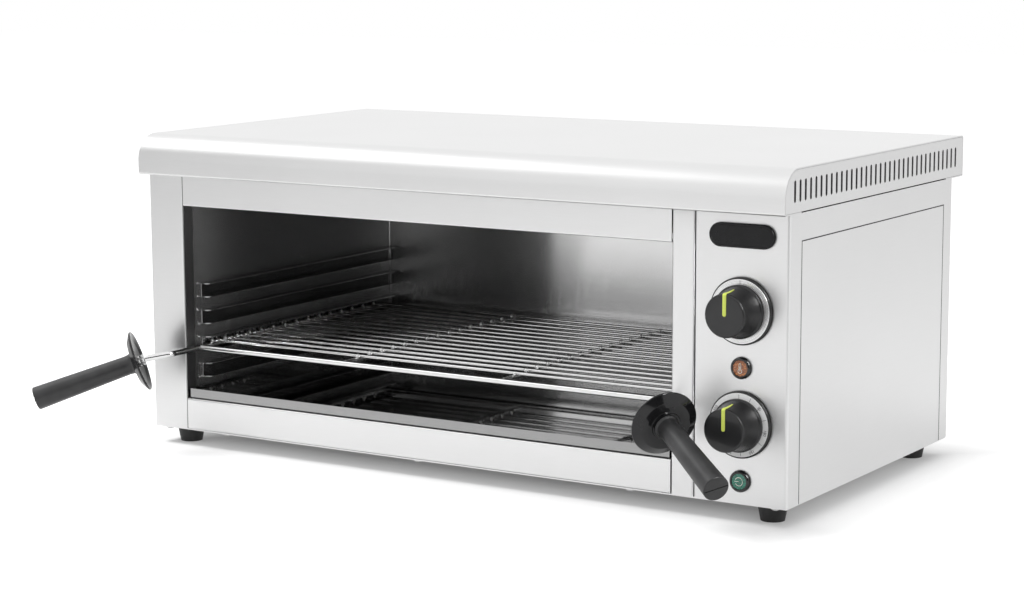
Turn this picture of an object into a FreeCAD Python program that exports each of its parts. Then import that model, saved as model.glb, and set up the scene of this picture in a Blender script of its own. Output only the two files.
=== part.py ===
import FreeCAD, Part
import math
import os
import re

import Sketcher

Vector = FreeCAD.Vector

# Driving dimensions in millimetres, angles in degrees. Places are given in the body's own frame:
# X to the right from the left side sheet, Y to the rear from the front face, Z up from the underside.
DIMENSIONS = (
    ("body_w", 600),
    ("body_d", 302),
    ("body_high", 216.5),
    ("sheet", 1),
    ("seam", 0.4),
    ("corner_r", 2.5),
    ("fold_r", 1.5),
    ("return_d", 12),
    ("rear_flange", 18),
    ("left_post_w", 36.3),
    ("right_post_w", 19.4),
    ("panel_w", 77.1),
    ("top_rail_high", 26),
    ("top_rail_lap", 8),
    ("sill_high", 26.3),
    ("stand_high", 15),
    ("lid_high", 33.5),
    ("lid_side", 1),
    ("lid_front", 11.5),
    ("lid_rear", 19.5),
    ("lid_front_r", 22),
    ("lid_rear_r", 3),
    ("lid_foot", 16),
    ("lid_seam", 0.2),
    ("vent_count", 35),
    ("vent_margin", 16.4),
    ("vent_long", 16.2),
    ("vent_wide", 3.2),
    ("access_front", 19.3),
    ("access_rear", 16.6),
    ("access_top", 20.3),
    ("access_gap", 0.9),
    ("access_lip", 8),
    ("base_inset", 0.6),
    ("base_wall", 14),
    ("base_wall_end", 30),
    ("liner_flange", 11),
    ("roof_drop", 11.5),
    ("roof_flange", 6),
    ("rail_count", 4),
    ("rail_first", 41.6),
    ("rail_pitch", 22.9),
    ("rail_high", 12.2),
    ("rail_reach", 9),
    ("rail_front", 21),
    ("rail_rear_gap", 4),
    ("rail_nose_r", 6),
    ("rack_rail", 1),
    ("rack_gap", 0.3),
    ("rack_side_gap", 0.6),
    ("rack_rod_r", 2.75),
    ("rack_bar_r", 2.5),
    ("rack_cross_r", 2),
    ("rack_wire_r", 1.4),
    ("weld_gap", 0.05),
    ("rack_front", 13),
    ("rack_depth", 272),
    ("wire_count", 15),
    ("wire_overhang", 2.4),
    ("rod_front", 24),
    ("rod_bend_r", 9),
    ("guard_out", 23.4),
    ("guard_front", 42.8),
    ("guard_drop", 6.65),
    ("grip_splay", 53.8),
    ("grip_fall", 19.4),
    ("rod_lead", 10),
    ("guard_r", 25.7),
    ("guard_hub_r", 10),
    ("guard_thick", 3),
    ("guard_dish", 5),
    ("grip_long", 88.5),
    ("grip_neck_r", 8),
    ("grip_end_r", 9.8),
    ("grip_round", 1),
    ("grip_bore_deep", 34),
    ("grip_fit", 0.05),
    ("nut_flats", 9),
    ("nut_high", 3),
    ("nut_gap", 0.3),
    ("tray_lift", 0.7),
    ("tray_gap", 0.3),
    ("tray_side", 2.3),
    ("tray_front", 2),
    ("tray_rear", 6),
    ("tray_high", 7.4),
    ("ledge_w", 10),
    ("ledge_front", 20),
    ("element_r", 4),
    ("element_drop", 12),
    ("element_front", 62),
    ("element_back", 53),
    ("element_span", 58),
    ("element_bend_r", 26),
    ("element_left", 14),
    ("element_tail", 26),
    ("element_fit", 0.2),
    ("bushing_r", 8),
    ("bushing_long", 6),
    ("stud_r", 1.5),
    ("stud_long", 11),
    ("ceramic_r", 3.2),
    ("ceramic_long", 7),
    ("hanger_thick", 1.5),
    ("hanger_lap", 12),
    ("hanger_first", 70),
    ("hanger_second", 290),
    ("control_in", 38),
    ("upper_dial_z", 144),
    ("lower_dial_z", 59.5),
    ("heat_lamp_z", 101.7),
    ("power_lamp_z", 16.8),
    ("badge_z", 199.5),
    ("badge_long", 53),
    ("badge_high", 18),
    ("badge_thick", 3),
    ("dial_r", 25.2),
    ("dial_thick", 3.4),
    ("dial_hole_r", 6),
    ("face_r", 24.2),
    ("face_thick", 0.6),
    ("knob_gap", 0.5),
    ("knob_base_r", 20),
    ("knob_skirt", 3),
    ("knob_flare", 1),
    ("knob_face_r", 16.3),
    ("knob_high", 24),
    ("knob_round", 1),
    ("pointer_w", 2.9),
    ("pointer_thick", 0.5),
    ("pointer_tail", 0.4),
    ("shaft_r", 3),
    ("shaft_fit", 0.05),
    ("shaft_in", 12),
    ("shaft_out", 18),
    ("shaft_hole_r", 5),
    ("switch_w", 38),
    ("switch_d", 34),
    ("switch_high", 38),
    ("thermostat_w", 34),
    ("thermostat_d", 26),
    ("thermostat_high", 44),
    ("lamp_bezel_r", 8.3),
    ("lamp_bezel_high", 3),
    ("lamp_barrel_r", 6.4),
    ("lamp_barrel_long", 24),
    ("lamp_hole_fit", 0.2),
    ("lamp_lens_r", 6),
    ("lamp_lens_fit", 0.1),
    ("lamp_recess", 1.5),
    ("lamp_lens_high", 1.3),
    ("foot_inset", 22),
    ("foot_top_r", 12),
    ("foot_end_r", 9.2),
    ("foot_recess_r", 5),
    ("foot_recess", 7),
    ("screw_r", 2),
    ("screw_fit", 0.15),
    ("screw_head_r", 3.8),
    ("screw_head", 2.2),
    ("screw_tail", 6),
    ("foot_nut_r", 4),
    ("foot_nut_high", 3.2),
    ("sill_screw_in", 38),
    ("screw_front", 6),
    ("post_screw_in", 12),
    ("rear_screw_in", 9),
    ("rear_screw_low", 26),
    ("rear_screw_high", 190),
    ("rear_vent_count", 9),
    ("rear_vent_pitch", 7),
    ("rear_vent_long", 40),
    ("rear_vent_wide", 3),
    ("rear_vent_z", 130),
    ("gland_in", 46),
    ("gland_z", 40),
    ("gland_hole_r", 8),
    ("gland_fit", 0.15),
    ("gland_flange_r", 11),
    ("gland_flange", 4),
    ("gland_nose_r", 8.5),
    ("gland_nose", 8),
    ("gland_bore_r", 4),
    ("gland_tail", 10),
    ("gland_nut_r", 11),
    ("gland_nut", 5),
    ("block_w", 44),
    ("block_d", 20),
    ("block_high", 18),
    ("block_in", 92),
    ("block_rear", 40),
    ("block_screw_r", 2.5),
    ("bulb_r", 3),
    ("bulb_long", 80),
    ("bulb_in", 24),
    ("bulb_rear", 22),
    ("bulb_drop", 10),
    ("capillary_r", 0.9),
    ("clip_thick", 1.5),
    ("clip_wide", 14),
    ("clip_fit", 0.1),
    ("lead_r", 1.3),
    ("lead_step", 4),
    ("lead_tail", 14),
    ("lead_bend", 0.45),
)

# Places and sizes that follow from the driving dimensions.
PLACES = (
    ("rear_y", "body_d - sheet"),
    ("panel_left", "body_w - panel_w"),
    ("right_x", "panel_left - right_post_w"),
    ("left_x", "left_post_w"),
    ("mid_x", "(left_x + right_x) / 2"),
    ("rail_bottom", "body_high - top_rail_high"),
    ("roof_z", "body_high - roof_drop"),
    ("access_z", "body_high - access_top"),
    ("access_y", "body_d - access_rear"),
    ("lid_z", "body_high + lid_high"),
    ("lid_left", "0 - lid_side"),
    ("lid_right", "body_w + lid_side"),
    ("lid_y", "0 - lid_front"),
    ("lid_back", "body_d + lid_rear"),
    ("vent_pitch", "(lid_back - lid_y - 2 * vent_margin) / (vent_count - 1)"),
    ("control_x", "body_w - control_in"),
    ("ledge_z", "sill_high + tray_lift"),
    ("tray_z", "ledge_z + tray_gap"),
    ("element_z", "roof_z - element_drop"),
    ("element_rear", "rear_y - element_back - element_span"),
    ("rod_x", "left_x + sheet + rack_side_gap + rack_rod_r"),
    ("rod_z", "rail_first + rack_rail * rail_pitch + sheet + rack_gap + rack_rod_r"),
    ("wire_z", "rod_z + rack_rod_r + weld_gap + rack_wire_r"),
    ("cross_z", "rod_z + rack_rod_r - rack_cross_r"),
    ("rack_back", "rack_front + rack_depth"),
    ("wire_pitch", "rack_depth / (wire_count + 1)"),
    ("grip_x", "sin(grip_splay) * cos(grip_fall)"),
    ("grip_y", "cos(grip_splay) * cos(grip_fall)"),
    ("grip_z", "sin(grip_fall)"),
    ("guard_x", "rod_x - guard_out"),
    ("guard_z", "rod_z - guard_drop"),
    ("lean_x", "sqrt(1 - grip_x ^ 2)"),
    ("lean_y", "sqrt(1 - grip_y ^ 2)"),
    ("reach_x", "max(grip_long * grip_x - grip_round * lean_x; (grip_long - grip_round) * grip_x)"),
    ("reach_y", "max(grip_long * grip_y - grip_round * lean_y; (grip_long - grip_round) * grip_y)"),
    ("tip_left", "guard_x - reach_x - grip_end_r * lean_x"),
    ("tip_front", "0 - guard_front - reach_y - grip_end_r * lean_y"),
    ("tip_right", "max(lid_right; 2 * mid_x - tip_left)"),
    ("shift_x", "0 - (tip_left + tip_right) / 2"),
    ("shift_y", "0 - (tip_front + lid_back) / 2"),
    ("shift_z", "stand_high"),
)

NAMES = {name: "dims." + name for name, _ in DIMENSIONS}
NAMES.update({name: "places." + name for name, _ in PLACES})

ABOUT = {
    "+x": FreeCAD.Rotation(Vector(0, 1, 0), 90),
    "+y": FreeCAD.Rotation(Vector(1, 0, 0), -90),
    "-y": FreeCAD.Rotation(Vector(1, 0, 0), 90),
    "+z": FreeCAD.Rotation(),
    "-z": FreeCAD.Rotation(Vector(1, 0, 0), 180),
}

doc = FreeCAD.newDocument("salamander_grill")
dims = doc.addObject("Spreadsheet::Sheet", "dims")
for row, (name, number) in enumerate(DIMENSIONS, start=1):
    dims.set("A%d" % row, name)
    dims.set("B%d" % row, str(number))
    dims.setAlias("B%d" % row, name)
doc.recompute()

places = doc.addObject("App::VarSet", "places")
for name, rule in PLACES:
    places.addProperty("App::PropertyFloat", name)


def formula(text):
    """Names of dimensions and places, written as the document's expressions."""
    return re.sub(r"[a-z][a-z_0-9]*", lambda word: NAMES.get(word[0], word[0]), str(text))


for name, rule in PLACES:
    places.setExpression(name, formula(rule))
doc.recompute()


class Values:
    """Present numbers of the sheet and of the places, for shapes made with functions."""

    def __getattr__(self, name):
        holder = places if name in dict(PLACES) else dims
        return float(getattr(holder, name))


v = Values()
nodes = []
spots = {}


def bind(item, **rules):
    for prop, rule in rules.items():
        item.setExpression(prop, formula(rule))
    return item


def put(item, at, turn="+z"):
    item.Placement.Rotation = ABOUT[turn]
    for axis, rule in zip("xyz", at):
        item.setExpression("Placement.Base." + axis, formula(rule))
    spots[item.Name] = at
    return item


def node(item, name):
    """A finished sub-part: labelled, and moved from the body's frame to the part's own."""
    at = spots.get(item.Name, ("0", "0", "0"))
    for axis, rule in zip("xyz", at):
        item.setExpression("Placement.Base." + axis, formula("(%s) + shift_%s" % (rule, axis)))
    item.Label = name
    nodes.append((name, item))
    return item


def shaped(name, shape):
    """A finished sub-part whose shape comes from functions, in the body's frame."""
    item = doc.addObject("Part::Feature", name + "_shape")
    item.Shape = shape
    shift = FreeCAD.Placement(Vector(v.shift_x, v.shift_y, v.shift_z), FreeCAD.Rotation())
    item.Placement = shift.multiply(item.Placement)
    item.Label = name
    nodes.append((name, item))
    return item


def box(name, low, size):
    item = doc.addObject("Part::Box", name)
    bind(item, Length=size[0], Width=size[1], Height=size[2])
    return put(item, low)


def cylinder(name, radius, length, at, turn="+z"):
    item = doc.addObject("Part::Cylinder", name)
    bind(item, Radius=radius, Height=length)
    return put(item, at, turn)


def cone(name, radius, end_radius, length, at, turn="+z"):
    item = doc.addObject("Part::Cone", name)
    bind(item, Radius1=radius, Radius2=end_radius, Height=length)
    return put(item, at, turn)


def fuse(name, pieces):
    item = doc.addObject("Part::MultiFuse", name)
    item.Shapes = pieces
    return item


def cut(name, base, tools):
    item = doc.addObject("Part::Cut", name)
    item.Base = base
    item.Tool = tools[0] if len(tools) == 1 else fuse(name + "_tools", tools)
    return item


def group(name, pieces):
    item = doc.addObject("Part::Compound", name)
    item.Links = pieces
    return item


def origin_plane(body, role):
    return next(item for item in body.Origin.OriginFeatures if item.Role == role)


def outline(body, name, plane, corners):
    """A closed sketch of straight edges, each corner held by two bound distances."""
    sketch = body.newObject("Sketcher::SketchObject", name)
    sketch.AttachmentSupport = [(origin_plane(body, plane), "")]
    sketch.MapMode = "FlatFace"
    count = len(corners)
    ring = [Vector(math.cos(2 * math.pi * i / count), math.sin(2 * math.pi * i / count), 0) for i in range(count)]
    for i in range(count):
        sketch.addGeometry(Part.LineSegment(ring[i], ring[(i + 1) % count]), False)
    for i in range(count):
        sketch.addConstraint(Sketcher.Constraint("Coincident", i, 2, (i + 1) % count, 1))
    for i, corner in enumerate(corners):
        for kind, start, rule in (("DistanceX", ring[i].x, corner[0]), ("DistanceY", ring[i].y, corner[1])):
            index = sketch.addConstraint(Sketcher.Constraint(kind, -1, 1, i, 1, start))
            sketch.setExpression("Constraints[%d]" % index, formula(rule))
    return sketch


def bent_sheet(name, plane, corners, start, length):
    """A sheet section drawn on a plane and drawn out along that plane's normal: +Z, +Y or +X."""
    body = doc.addObject("PartDesign::Body", name)
    sketch = outline(body, name + "_section", plane, corners)
    inward = plane == "XZ_Plane"
    sketch.setExpression("AttachmentOffset.Base.z", formula("-(%s)" % start if inward else start))
    pad = body.newObject("PartDesign::Pad", name + "_run")
    pad.Profile = sketch
    pad.Reversed = inward
    pad.setExpression("Length", formula(length))
    doc.recompute()
    return body


def turned(name, corners, at, turn):
    """A round piece: corners are (radius, height) pairs, spun about the local Z axis."""
    body = doc.addObject("PartDesign::Body", name)
    sketch = outline(body, name + "_section", "XZ_Plane", corners)
    spin = body.newObject("PartDesign::Revolution", name + "_spin")
    spin.Profile = sketch
    spin.ReferenceAxis = (sketch, ["V_Axis"])
    spin.Angle = 360
    doc.recompute()
    return put(body, at, turn)


def edges_where(shape, test):
    return ["Edge%d" % i for i, edge in enumerate(shape.Edges, start=1) if test(edge)]


def along(edge, x=None, y=None, z=None):
    """True where every corner of a straight edge lies at the coordinates given."""
    ends = [vertex.Point for vertex in edge.Vertexes]
    wanted = ((0, x), (1, y), (2, z))
    return len(ends) == 2 and all(abs(p[i] - w) < 1e-6 for p in ends for i, w in wanted if w is not None)


def round_off(body, name, test, radius):
    solid = body.Tip
    fillet = body.newObject("PartDesign::Fillet", name)
    fillet.Base = (solid, edges_where(solid.Shape, test))
    fillet.setExpression("Radius", formula(radius))
    body.Tip = fillet
    doc.recompute()
    return body


def run_wire(points, bends):
    """Straight runs joined by tangent arcs."""
    edges = []
    start = points[0]
    for before, corner, after, radius in zip(points, points[1:], points[2:], bends):
        u = (before - corner).normalize()
        w = (after - corner).normalize()
        half = u.getAngle(w) / 2
        reach = radius / math.tan(half)
        first = corner + u * reach
        last = corner + w * reach
        centre = corner + (u + w).normalize() * (radius / math.sin(half))
        middle = centre + (corner - centre).normalize() * radius
        if first.distanceToPoint(start) > 1e-6:
            edges.append(Part.LineSegment(start, first).toShape())
        edges.append(Part.Arc(first, middle, last).toShape())
        start = last
    edges.append(Part.LineSegment(start, points[-1]).toShape())
    return Part.Wire(edges)


def tube(points, radius, bends):
    path = run_wire(points, bends)
    section = Part.Wire([Part.makeCircle(radius, points[0], points[1] - points[0])])
    solid = path.makePipeShell([section], True, True)
    expected = math.pi * radius ** 2 * path.Length
    if abs(solid.Volume - expected) > 0.01 * expected:
        raise ValueError("a tube has lost volume")
    return solid


def mirrored(point):
    """The same place on the other side of the cavity's middle plane."""
    return Vector(2 * v.mid_x - point.x, point.y, point.z)


# Screw places along the rear edges of the side casings, and the holes that they need
REAR_SCREWS = [
    (x, z)
    for x in ("rear_screw_in", "body_w - rear_screw_in")
    for z in ("rear_screw_low", "(rear_screw_low + rear_screw_high) / 2", "rear_screw_high")
]


def rear_holes(name, screws):
    return [
        cylinder("%s_%d" % (name, i), "screw_r + screw_fit", "4 * sheet", (x, "rear_y - 2 * sheet", z), "+y")
        for i, (x, z) in enumerate(screws)
    ]


# Body sheets
left_shell = bent_sheet(
    "left_shell",
    "XY_Plane",
    (
        ("0", "0"),
        ("left_x", "0"),
        ("left_x", "return_d"),
        ("left_x - sheet", "return_d"),
        ("left_x - sheet", "sheet"),
        ("sheet", "sheet"),
        ("sheet", "rear_y - sheet"),
        ("rear_flange", "rear_y - sheet"),
        ("rear_flange", "rear_y"),
        ("0", "rear_y"),
    ),
    "0",
    "body_high",
)
round_off(left_shell, "left_outer_bend", lambda e: along(e, x=0, y=0), "corner_r")
round_off(left_shell, "left_inner_bend", lambda e: along(e, x=v.sheet, y=v.sheet), "corner_r - sheet")
round_off(left_shell, "left_post_bend", lambda e: along(e, x=v.left_x, y=0), "fold_r")
round_off(left_shell, "left_post_inner", lambda e: along(e, x=v.left_x - v.sheet, y=v.sheet), "fold_r - sheet")
left_toe = box(
    "left_toe",
    ("corner_r", "sheet", "0"),
    ("left_x - sheet - corner_r", "return_d - sheet", "sheet"),
)
left_hole = cylinder("left_hole", "screw_r + screw_fit", "3 * sheet", ("post_screw_in", "screw_front", "-sheet"))
left_holes = [left_hole] + rear_holes("left_rear_hole", REAR_SCREWS[:3])
node(cut("left_sheet", fuse("left_folded", [left_shell, left_toe]), left_holes), "left_casing")

right_shell = bent_sheet(
    "right_shell",
    "XY_Plane",
    (
        ("panel_left", "0"),
        ("body_w", "0"),
        ("body_w", "rear_y"),
        ("body_w - rear_flange", "rear_y"),
        ("body_w - rear_flange", "rear_y - sheet"),
        ("body_w - sheet", "rear_y - sheet"),
        ("body_w - sheet", "sheet"),
        ("panel_left + sheet", "sheet"),
        ("panel_left + sheet", "return_d"),
        ("panel_left", "return_d"),
    ),
    "0",
    "body_high",
)
round_off(right_shell, "right_outer_bend", lambda e: along(e, x=v.body_w, y=0), "corner_r")
round_off(
    right_shell,
    "right_inner_bend",
    lambda e: along(e, x=v.body_w - v.sheet, y=v.sheet),
    "corner_r - sheet",
)
round_off(right_shell, "panel_bend", lambda e: along(e, x=v.panel_left, y=0), "fold_r")
round_off(right_shell, "panel_inner", lambda e: along(e, x=v.panel_left + v.sheet, y=v.sheet), "fold_r - sheet")
right_toe = box(
    "right_toe",
    ("panel_left + sheet", "sheet", "0"),
    ("panel_w - sheet - corner_r", "return_d - sheet", "sheet"),
)
side_window = box(
    "side_window",
    ("body_w - 2 * sheet", "access_front", "-sheet"),
    ("3 * sheet", "access_y - access_front", "access_z + sheet"),
)
panel_holes = [
    cylinder("hole_" + name, radius, "3 * sheet", ("control_x", "-sheet", height), "+y")
    for name, radius, height in (
        ("upper", "shaft_hole_r", "upper_dial_z"),
        ("lower", "shaft_hole_r", "lower_dial_z"),
        ("heat", "lamp_barrel_r + lamp_hole_fit", "heat_lamp_z"),
        ("power", "lamp_barrel_r + lamp_hole_fit", "power_lamp_z"),
    )
]
right_hole = cylinder(
    "right_hole", "screw_r + screw_fit", "3 * sheet", ("body_w - post_screw_in", "screw_front", "-sheet")
)
right_cuts = [side_window, right_hole] + panel_holes + rear_holes("right_rear_hole", REAR_SCREWS[3:])
node(cut("right_sheet", fuse("right_folded", [right_shell, right_toe]), right_cuts), "right_casing")

access_low = "base_wall + 2 * sheet"
access_sheet = box(
    "access_sheet",
    ("body_w - sheet", "access_front + access_gap", "0"),
    ("sheet", "access_y - access_front - 2 * access_gap", "access_z - access_gap"),
)
access_lips = [
    box(
        "access_lip_" + name,
        ("body_w - 2 * sheet", "%s - access_lip" % edge, access_low),
        ("sheet", "2 * access_lip", "access_z + access_lip - (%s)" % access_low),
    )
    for name, edge in (("front", "access_front"), ("rear", "access_y"))
]
access_head = box(
    "access_lip_top",
    ("body_w - 2 * sheet", "access_front - access_lip", "access_z - access_lip"),
    ("sheet", "access_y - access_front + 2 * access_lip", "2 * access_lip"),
)
node(fuse("access_cover", [access_sheet, access_head] + access_lips), "side_access_panel")

top_rail = bent_sheet(
    "top_rail_sheet",
    "YZ_Plane",
    (
        ("0", "rail_bottom"),
        ("return_d", "rail_bottom"),
        ("return_d", "rail_bottom + sheet"),
        ("sheet", "rail_bottom + sheet"),
        ("sheet", "body_high - 2 * sheet"),
        ("return_d + top_rail_lap", "body_high - 2 * sheet"),
        ("return_d + top_rail_lap", "body_high - sheet"),
        ("sheet", "body_high - sheet"),
        ("sheet", "body_high"),
        ("0", "body_high"),
    ),
    "left_x + seam",
    "right_x - left_x - 2 * seam",
)
round_off(top_rail, "rail_bend", lambda e: along(e, y=0, z=v.rail_bottom), "fold_r")
round_off(top_rail, "rail_inner", lambda e: along(e, y=v.sheet, z=v.rail_bottom + v.sheet), "fold_r - sheet")
node(top_rail, "top_rail")

sill_sheet = bent_sheet(
    "sill_sheet",
    "YZ_Plane",
    (
        ("0", "0"),
        ("return_d", "0"),
        ("return_d", "sheet"),
        ("sheet", "sheet"),
        ("sheet", "sill_high - sheet"),
        ("return_d", "sill_high - sheet"),
        ("return_d", "sill_high"),
        ("0", "sill_high"),
    ),
    "left_x + seam",
    "right_x - left_x - 2 * seam",
)
for edge, outer, inner in (("low", 0, v.sheet), ("high", v.sill_high, v.sill_high - v.sheet)):
    round_off(sill_sheet, "sill_%s_bend" % edge, lambda e: along(e, y=0, z=outer), "fold_r")
    round_off(sill_sheet, "sill_%s_inner" % edge, lambda e: along(e, y=v.sheet, z=inner), "fold_r - sheet")
SILL_SCREWS = ("left_x + sill_screw_in", "mid_x", "right_x - sill_screw_in")
sill_holes = [
    cylinder("sill_hole_%d" % i, "screw_r + screw_fit", "3 * sheet", (x, "screw_front", "-sheet"))
    for i, x in enumerate(SILL_SCREWS)
]
node(cut("sill_drilled", sill_sheet, sill_holes), "bottom_front_panel")

left_liner = bent_sheet(
    "left_liner_sheet",
    "XY_Plane",
    (
        ("left_x - sheet", "return_d + seam"),
        ("left_x", "return_d + seam"),
        ("left_x", "rear_y"),
        ("left_x - liner_flange", "rear_y"),
        ("left_x - liner_flange", "rear_y - sheet"),
        ("left_x - sheet", "rear_y - sheet"),
    ),
    "0",
    "body_high - sheet",
)
node(left_liner, "left_cavity_liner")

right_liner = bent_sheet(
    "right_liner_sheet",
    "XY_Plane",
    (
        ("right_x", "0"),
        ("panel_left - seam", "0"),
        ("panel_left - seam", "return_d"),
        ("panel_left - seam - sheet", "return_d"),
        ("panel_left - seam - sheet", "sheet"),
        ("right_x + sheet", "sheet"),
        ("right_x + sheet", "rear_y - sheet"),
        ("right_x + liner_flange", "rear_y - sheet"),
        ("right_x + liner_flange", "rear_y"),
        ("right_x", "rear_y"),
    ),
    "0",
    "body_high - sheet",
)
for edge, outer, inner in (
    ("left", v.right_x, v.right_x + v.sheet),
    ("right", v.panel_left - v.seam, v.panel_left - v.seam - v.sheet),
):
    round_off(right_liner, "post_%s_bend" % edge, lambda e: along(e, x=outer, y=0), "fold_r")
    round_off(right_liner, "post_%s_inner" % edge, lambda e: along(e, x=inner, y=v.sheet), "fold_r - sheet")
post_head = box(
    "post_head",
    ("right_x + fold_r", "0", "body_high - sheet"),
    ("right_post_w - seam - 2 * fold_r", "sheet", "sheet"),
)
ELEMENT_LEGS = (
    ("front_a", "element_front"),
    ("front_b", "element_front + element_span"),
    ("rear_a", "element_rear"),
    ("rear_b", "element_rear + element_span"),
)
leg_holes = [
    cylinder(
        "leg_hole_" + name,
        "element_r + element_fit",
        "3 * sheet",
        ("right_x - sheet", y, "element_z"),
        "+x",
    )
    for name, y in ELEMENT_LEGS
]
bulb_y = "rear_y - bulb_rear"
bulb_z = "roof_z - bulb_drop"
capillary_hole = cylinder(
    "capillary_hole", "capillary_r + 2 * element_fit", "3 * sheet", ("right_x - sheet", bulb_y, bulb_z), "+x"
)
node(
    cut("right_liner_drilled", fuse("right_liner_post", [right_liner, post_head]), leg_holes + [capillary_hole]),
    "right_cavity_liner",
)

roof_sheet = bent_sheet(
    "roof_sheet",
    "XZ_Plane",
    (
        ("left_x", "roof_z - roof_flange"),
        ("left_x + sheet", "roof_z - roof_flange"),
        ("left_x + sheet", "roof_z - sheet"),
        ("right_x - sheet", "roof_z - sheet"),
        ("right_x - sheet", "roof_z - roof_flange"),
        ("right_x", "roof_z - roof_flange"),
        ("right_x", "roof_z"),
        ("left_x", "roof_z"),
    ),
    "return_d + sheet",
    "rear_y - return_d - sheet",
)
node(roof_sheet, "cavity_roof")

top_flange = "access_top - access_lip - 3 * sheet"
top_sheet = box(
    "top_sheet",
    ("sheet", "return_d + seam", "body_high - sheet"),
    ("body_w - 2 * sheet", "rear_y - return_d - sheet - 2 * seam", "sheet"),
)
top_flanges = [
    box(
        "top_flange_" + name,
        (x, "base_wall_end", "body_high - sheet - (%s)" % top_flange),
        ("sheet", "rear_y - 2 * base_wall_end", top_flange),
    )
    for name, x in (("left", "sheet"), ("right", "body_w - 2 * sheet"))
]
node(fuse("top_cover_sheet", [top_sheet] + top_flanges), "body_top_sheet")

rear_sheet = box(
    "rear_sheet",
    ("base_inset", "rear_y", "0"),
    ("body_w - 2 * base_inset", "sheet", "body_high"),
)
rear_vents = [
    box(
        "rear_vent_%d" % i,
        (
            "control_x + %d * rear_vent_pitch - rear_vent_wide / 2" % (i - (int(v.rear_vent_count) - 1) // 2),
            "rear_y - sheet",
            "rear_vent_z",
        ),
        ("rear_vent_wide", "3 * sheet", "rear_vent_long"),
    )
    for i in range(int(v.rear_vent_count))
]
gland_hole = cylinder(
    "gland_hole", "gland_hole_r + gland_fit", "3 * sheet", ("body_w - gland_in", "rear_y - sheet", "gland_z"), "+y"
)
rear_cuts = rear_vents + [gland_hole] + rear_holes("rear_hole", REAR_SCREWS)
node(cut("rear_pierced", rear_sheet, rear_cuts), "rear_panel")

FEET = {
    "front_left": ("foot_inset", "foot_inset"),
    "front_right": ("body_w - foot_inset", "foot_inset"),
    "rear_left": ("foot_inset", "body_d - foot_inset"),
    "rear_right": ("body_w - foot_inset", "body_d - foot_inset"),
}
BASE_SCREWS = [("post_screw_in", "screw_front"), ("body_w - post_screw_in", "screw_front")]
BASE_SCREWS += [(x, "screw_front") for x in SILL_SCREWS]
base_sheet = box(
    "base_sheet",
    ("base_inset", "base_inset", "-sheet"),
    ("body_w - 2 * base_inset", "rear_y - base_inset", "sheet"),
)
base_walls = [
    box(
        "base_wall_" + name,
        (x, "base_wall_end", "-sheet"),
        ("sheet", "rear_y - 2 * base_wall_end", "base_wall + sheet"),
    )
    for name, x in (("left", "sheet"), ("right", "body_w - 2 * sheet"))
]
base_back = box(
    "base_wall_rear",
    ("left_x + base_wall_end", "rear_y - sheet", "-sheet"),
    ("right_x - left_x - 2 * base_wall_end", "sheet", "base_wall + sheet"),
)
base_holes = [
    cylinder("base_hole_%d" % i, "screw_r + screw_fit", "3 * sheet", (x, y, "-2 * sheet"))
    for i, (x, y) in enumerate(BASE_SCREWS + list(FEET.values()))
]
node(cut("base_drilled", fuse("base_folded", [base_sheet, base_back] + base_walls), base_holes), "base_pan")

# Lid: one sheet over the front, top and rear, with a pierced plate at each end.
lid_body = doc.addObject("PartDesign::Body", "lid_body")
lid_sketch = outline(
    lid_body,
    "lid_section",
    "YZ_Plane",
    (
        ("lid_y", "body_high"),
        ("lid_y + lid_foot + lid_front", "body_high"),
        ("lid_y + lid_foot + lid_front", "body_high + sheet"),
        ("lid_y + sheet", "body_high + sheet"),
        ("lid_y + sheet", "lid_z - sheet"),
        ("lid_back - sheet", "lid_z - sheet"),
        ("lid_back - sheet", "body_high + sheet"),
        ("lid_back - lid_foot - lid_rear", "body_high + sheet"),
        ("lid_back - lid_foot - lid_rear", "body_high"),
        ("lid_back", "body_high"),
        ("lid_back", "lid_z"),
        ("lid_y", "lid_z"),
    ),
)
lid_sketch.setExpression("AttachmentOffset.Base.z", formula("lid_left"))
lid_pad = lid_body.newObject("PartDesign::Pad", "lid_run")
lid_pad.Profile = lid_sketch
lid_pad.setExpression("Length", formula("lid_right - lid_left"))
doc.recompute()
round_off(lid_body, "lid_front_bend", lambda e: along(e, y=v.lid_y, z=v.lid_z), "lid_front_r")
round_off(
    lid_body,
    "lid_front_inner",
    lambda e: along(e, y=v.lid_y + v.sheet, z=v.lid_z - v.sheet),
    "lid_front_r - sheet",
)
round_off(lid_body, "lid_rear_bend", lambda e: along(e, y=v.lid_back, z=v.lid_z), "lid_rear_r")
round_off(
    lid_body,
    "lid_rear_inner",
    lambda e: along(e, y=v.lid_back - v.sheet, z=v.lid_z - v.sheet),
    "lid_rear_r - sheet",
)
round_off(lid_body, "lid_front_hem", lambda e: along(e, y=v.lid_y, z=v.body_high), "2 * sheet")
node(lid_body, "lid_top")


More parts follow.
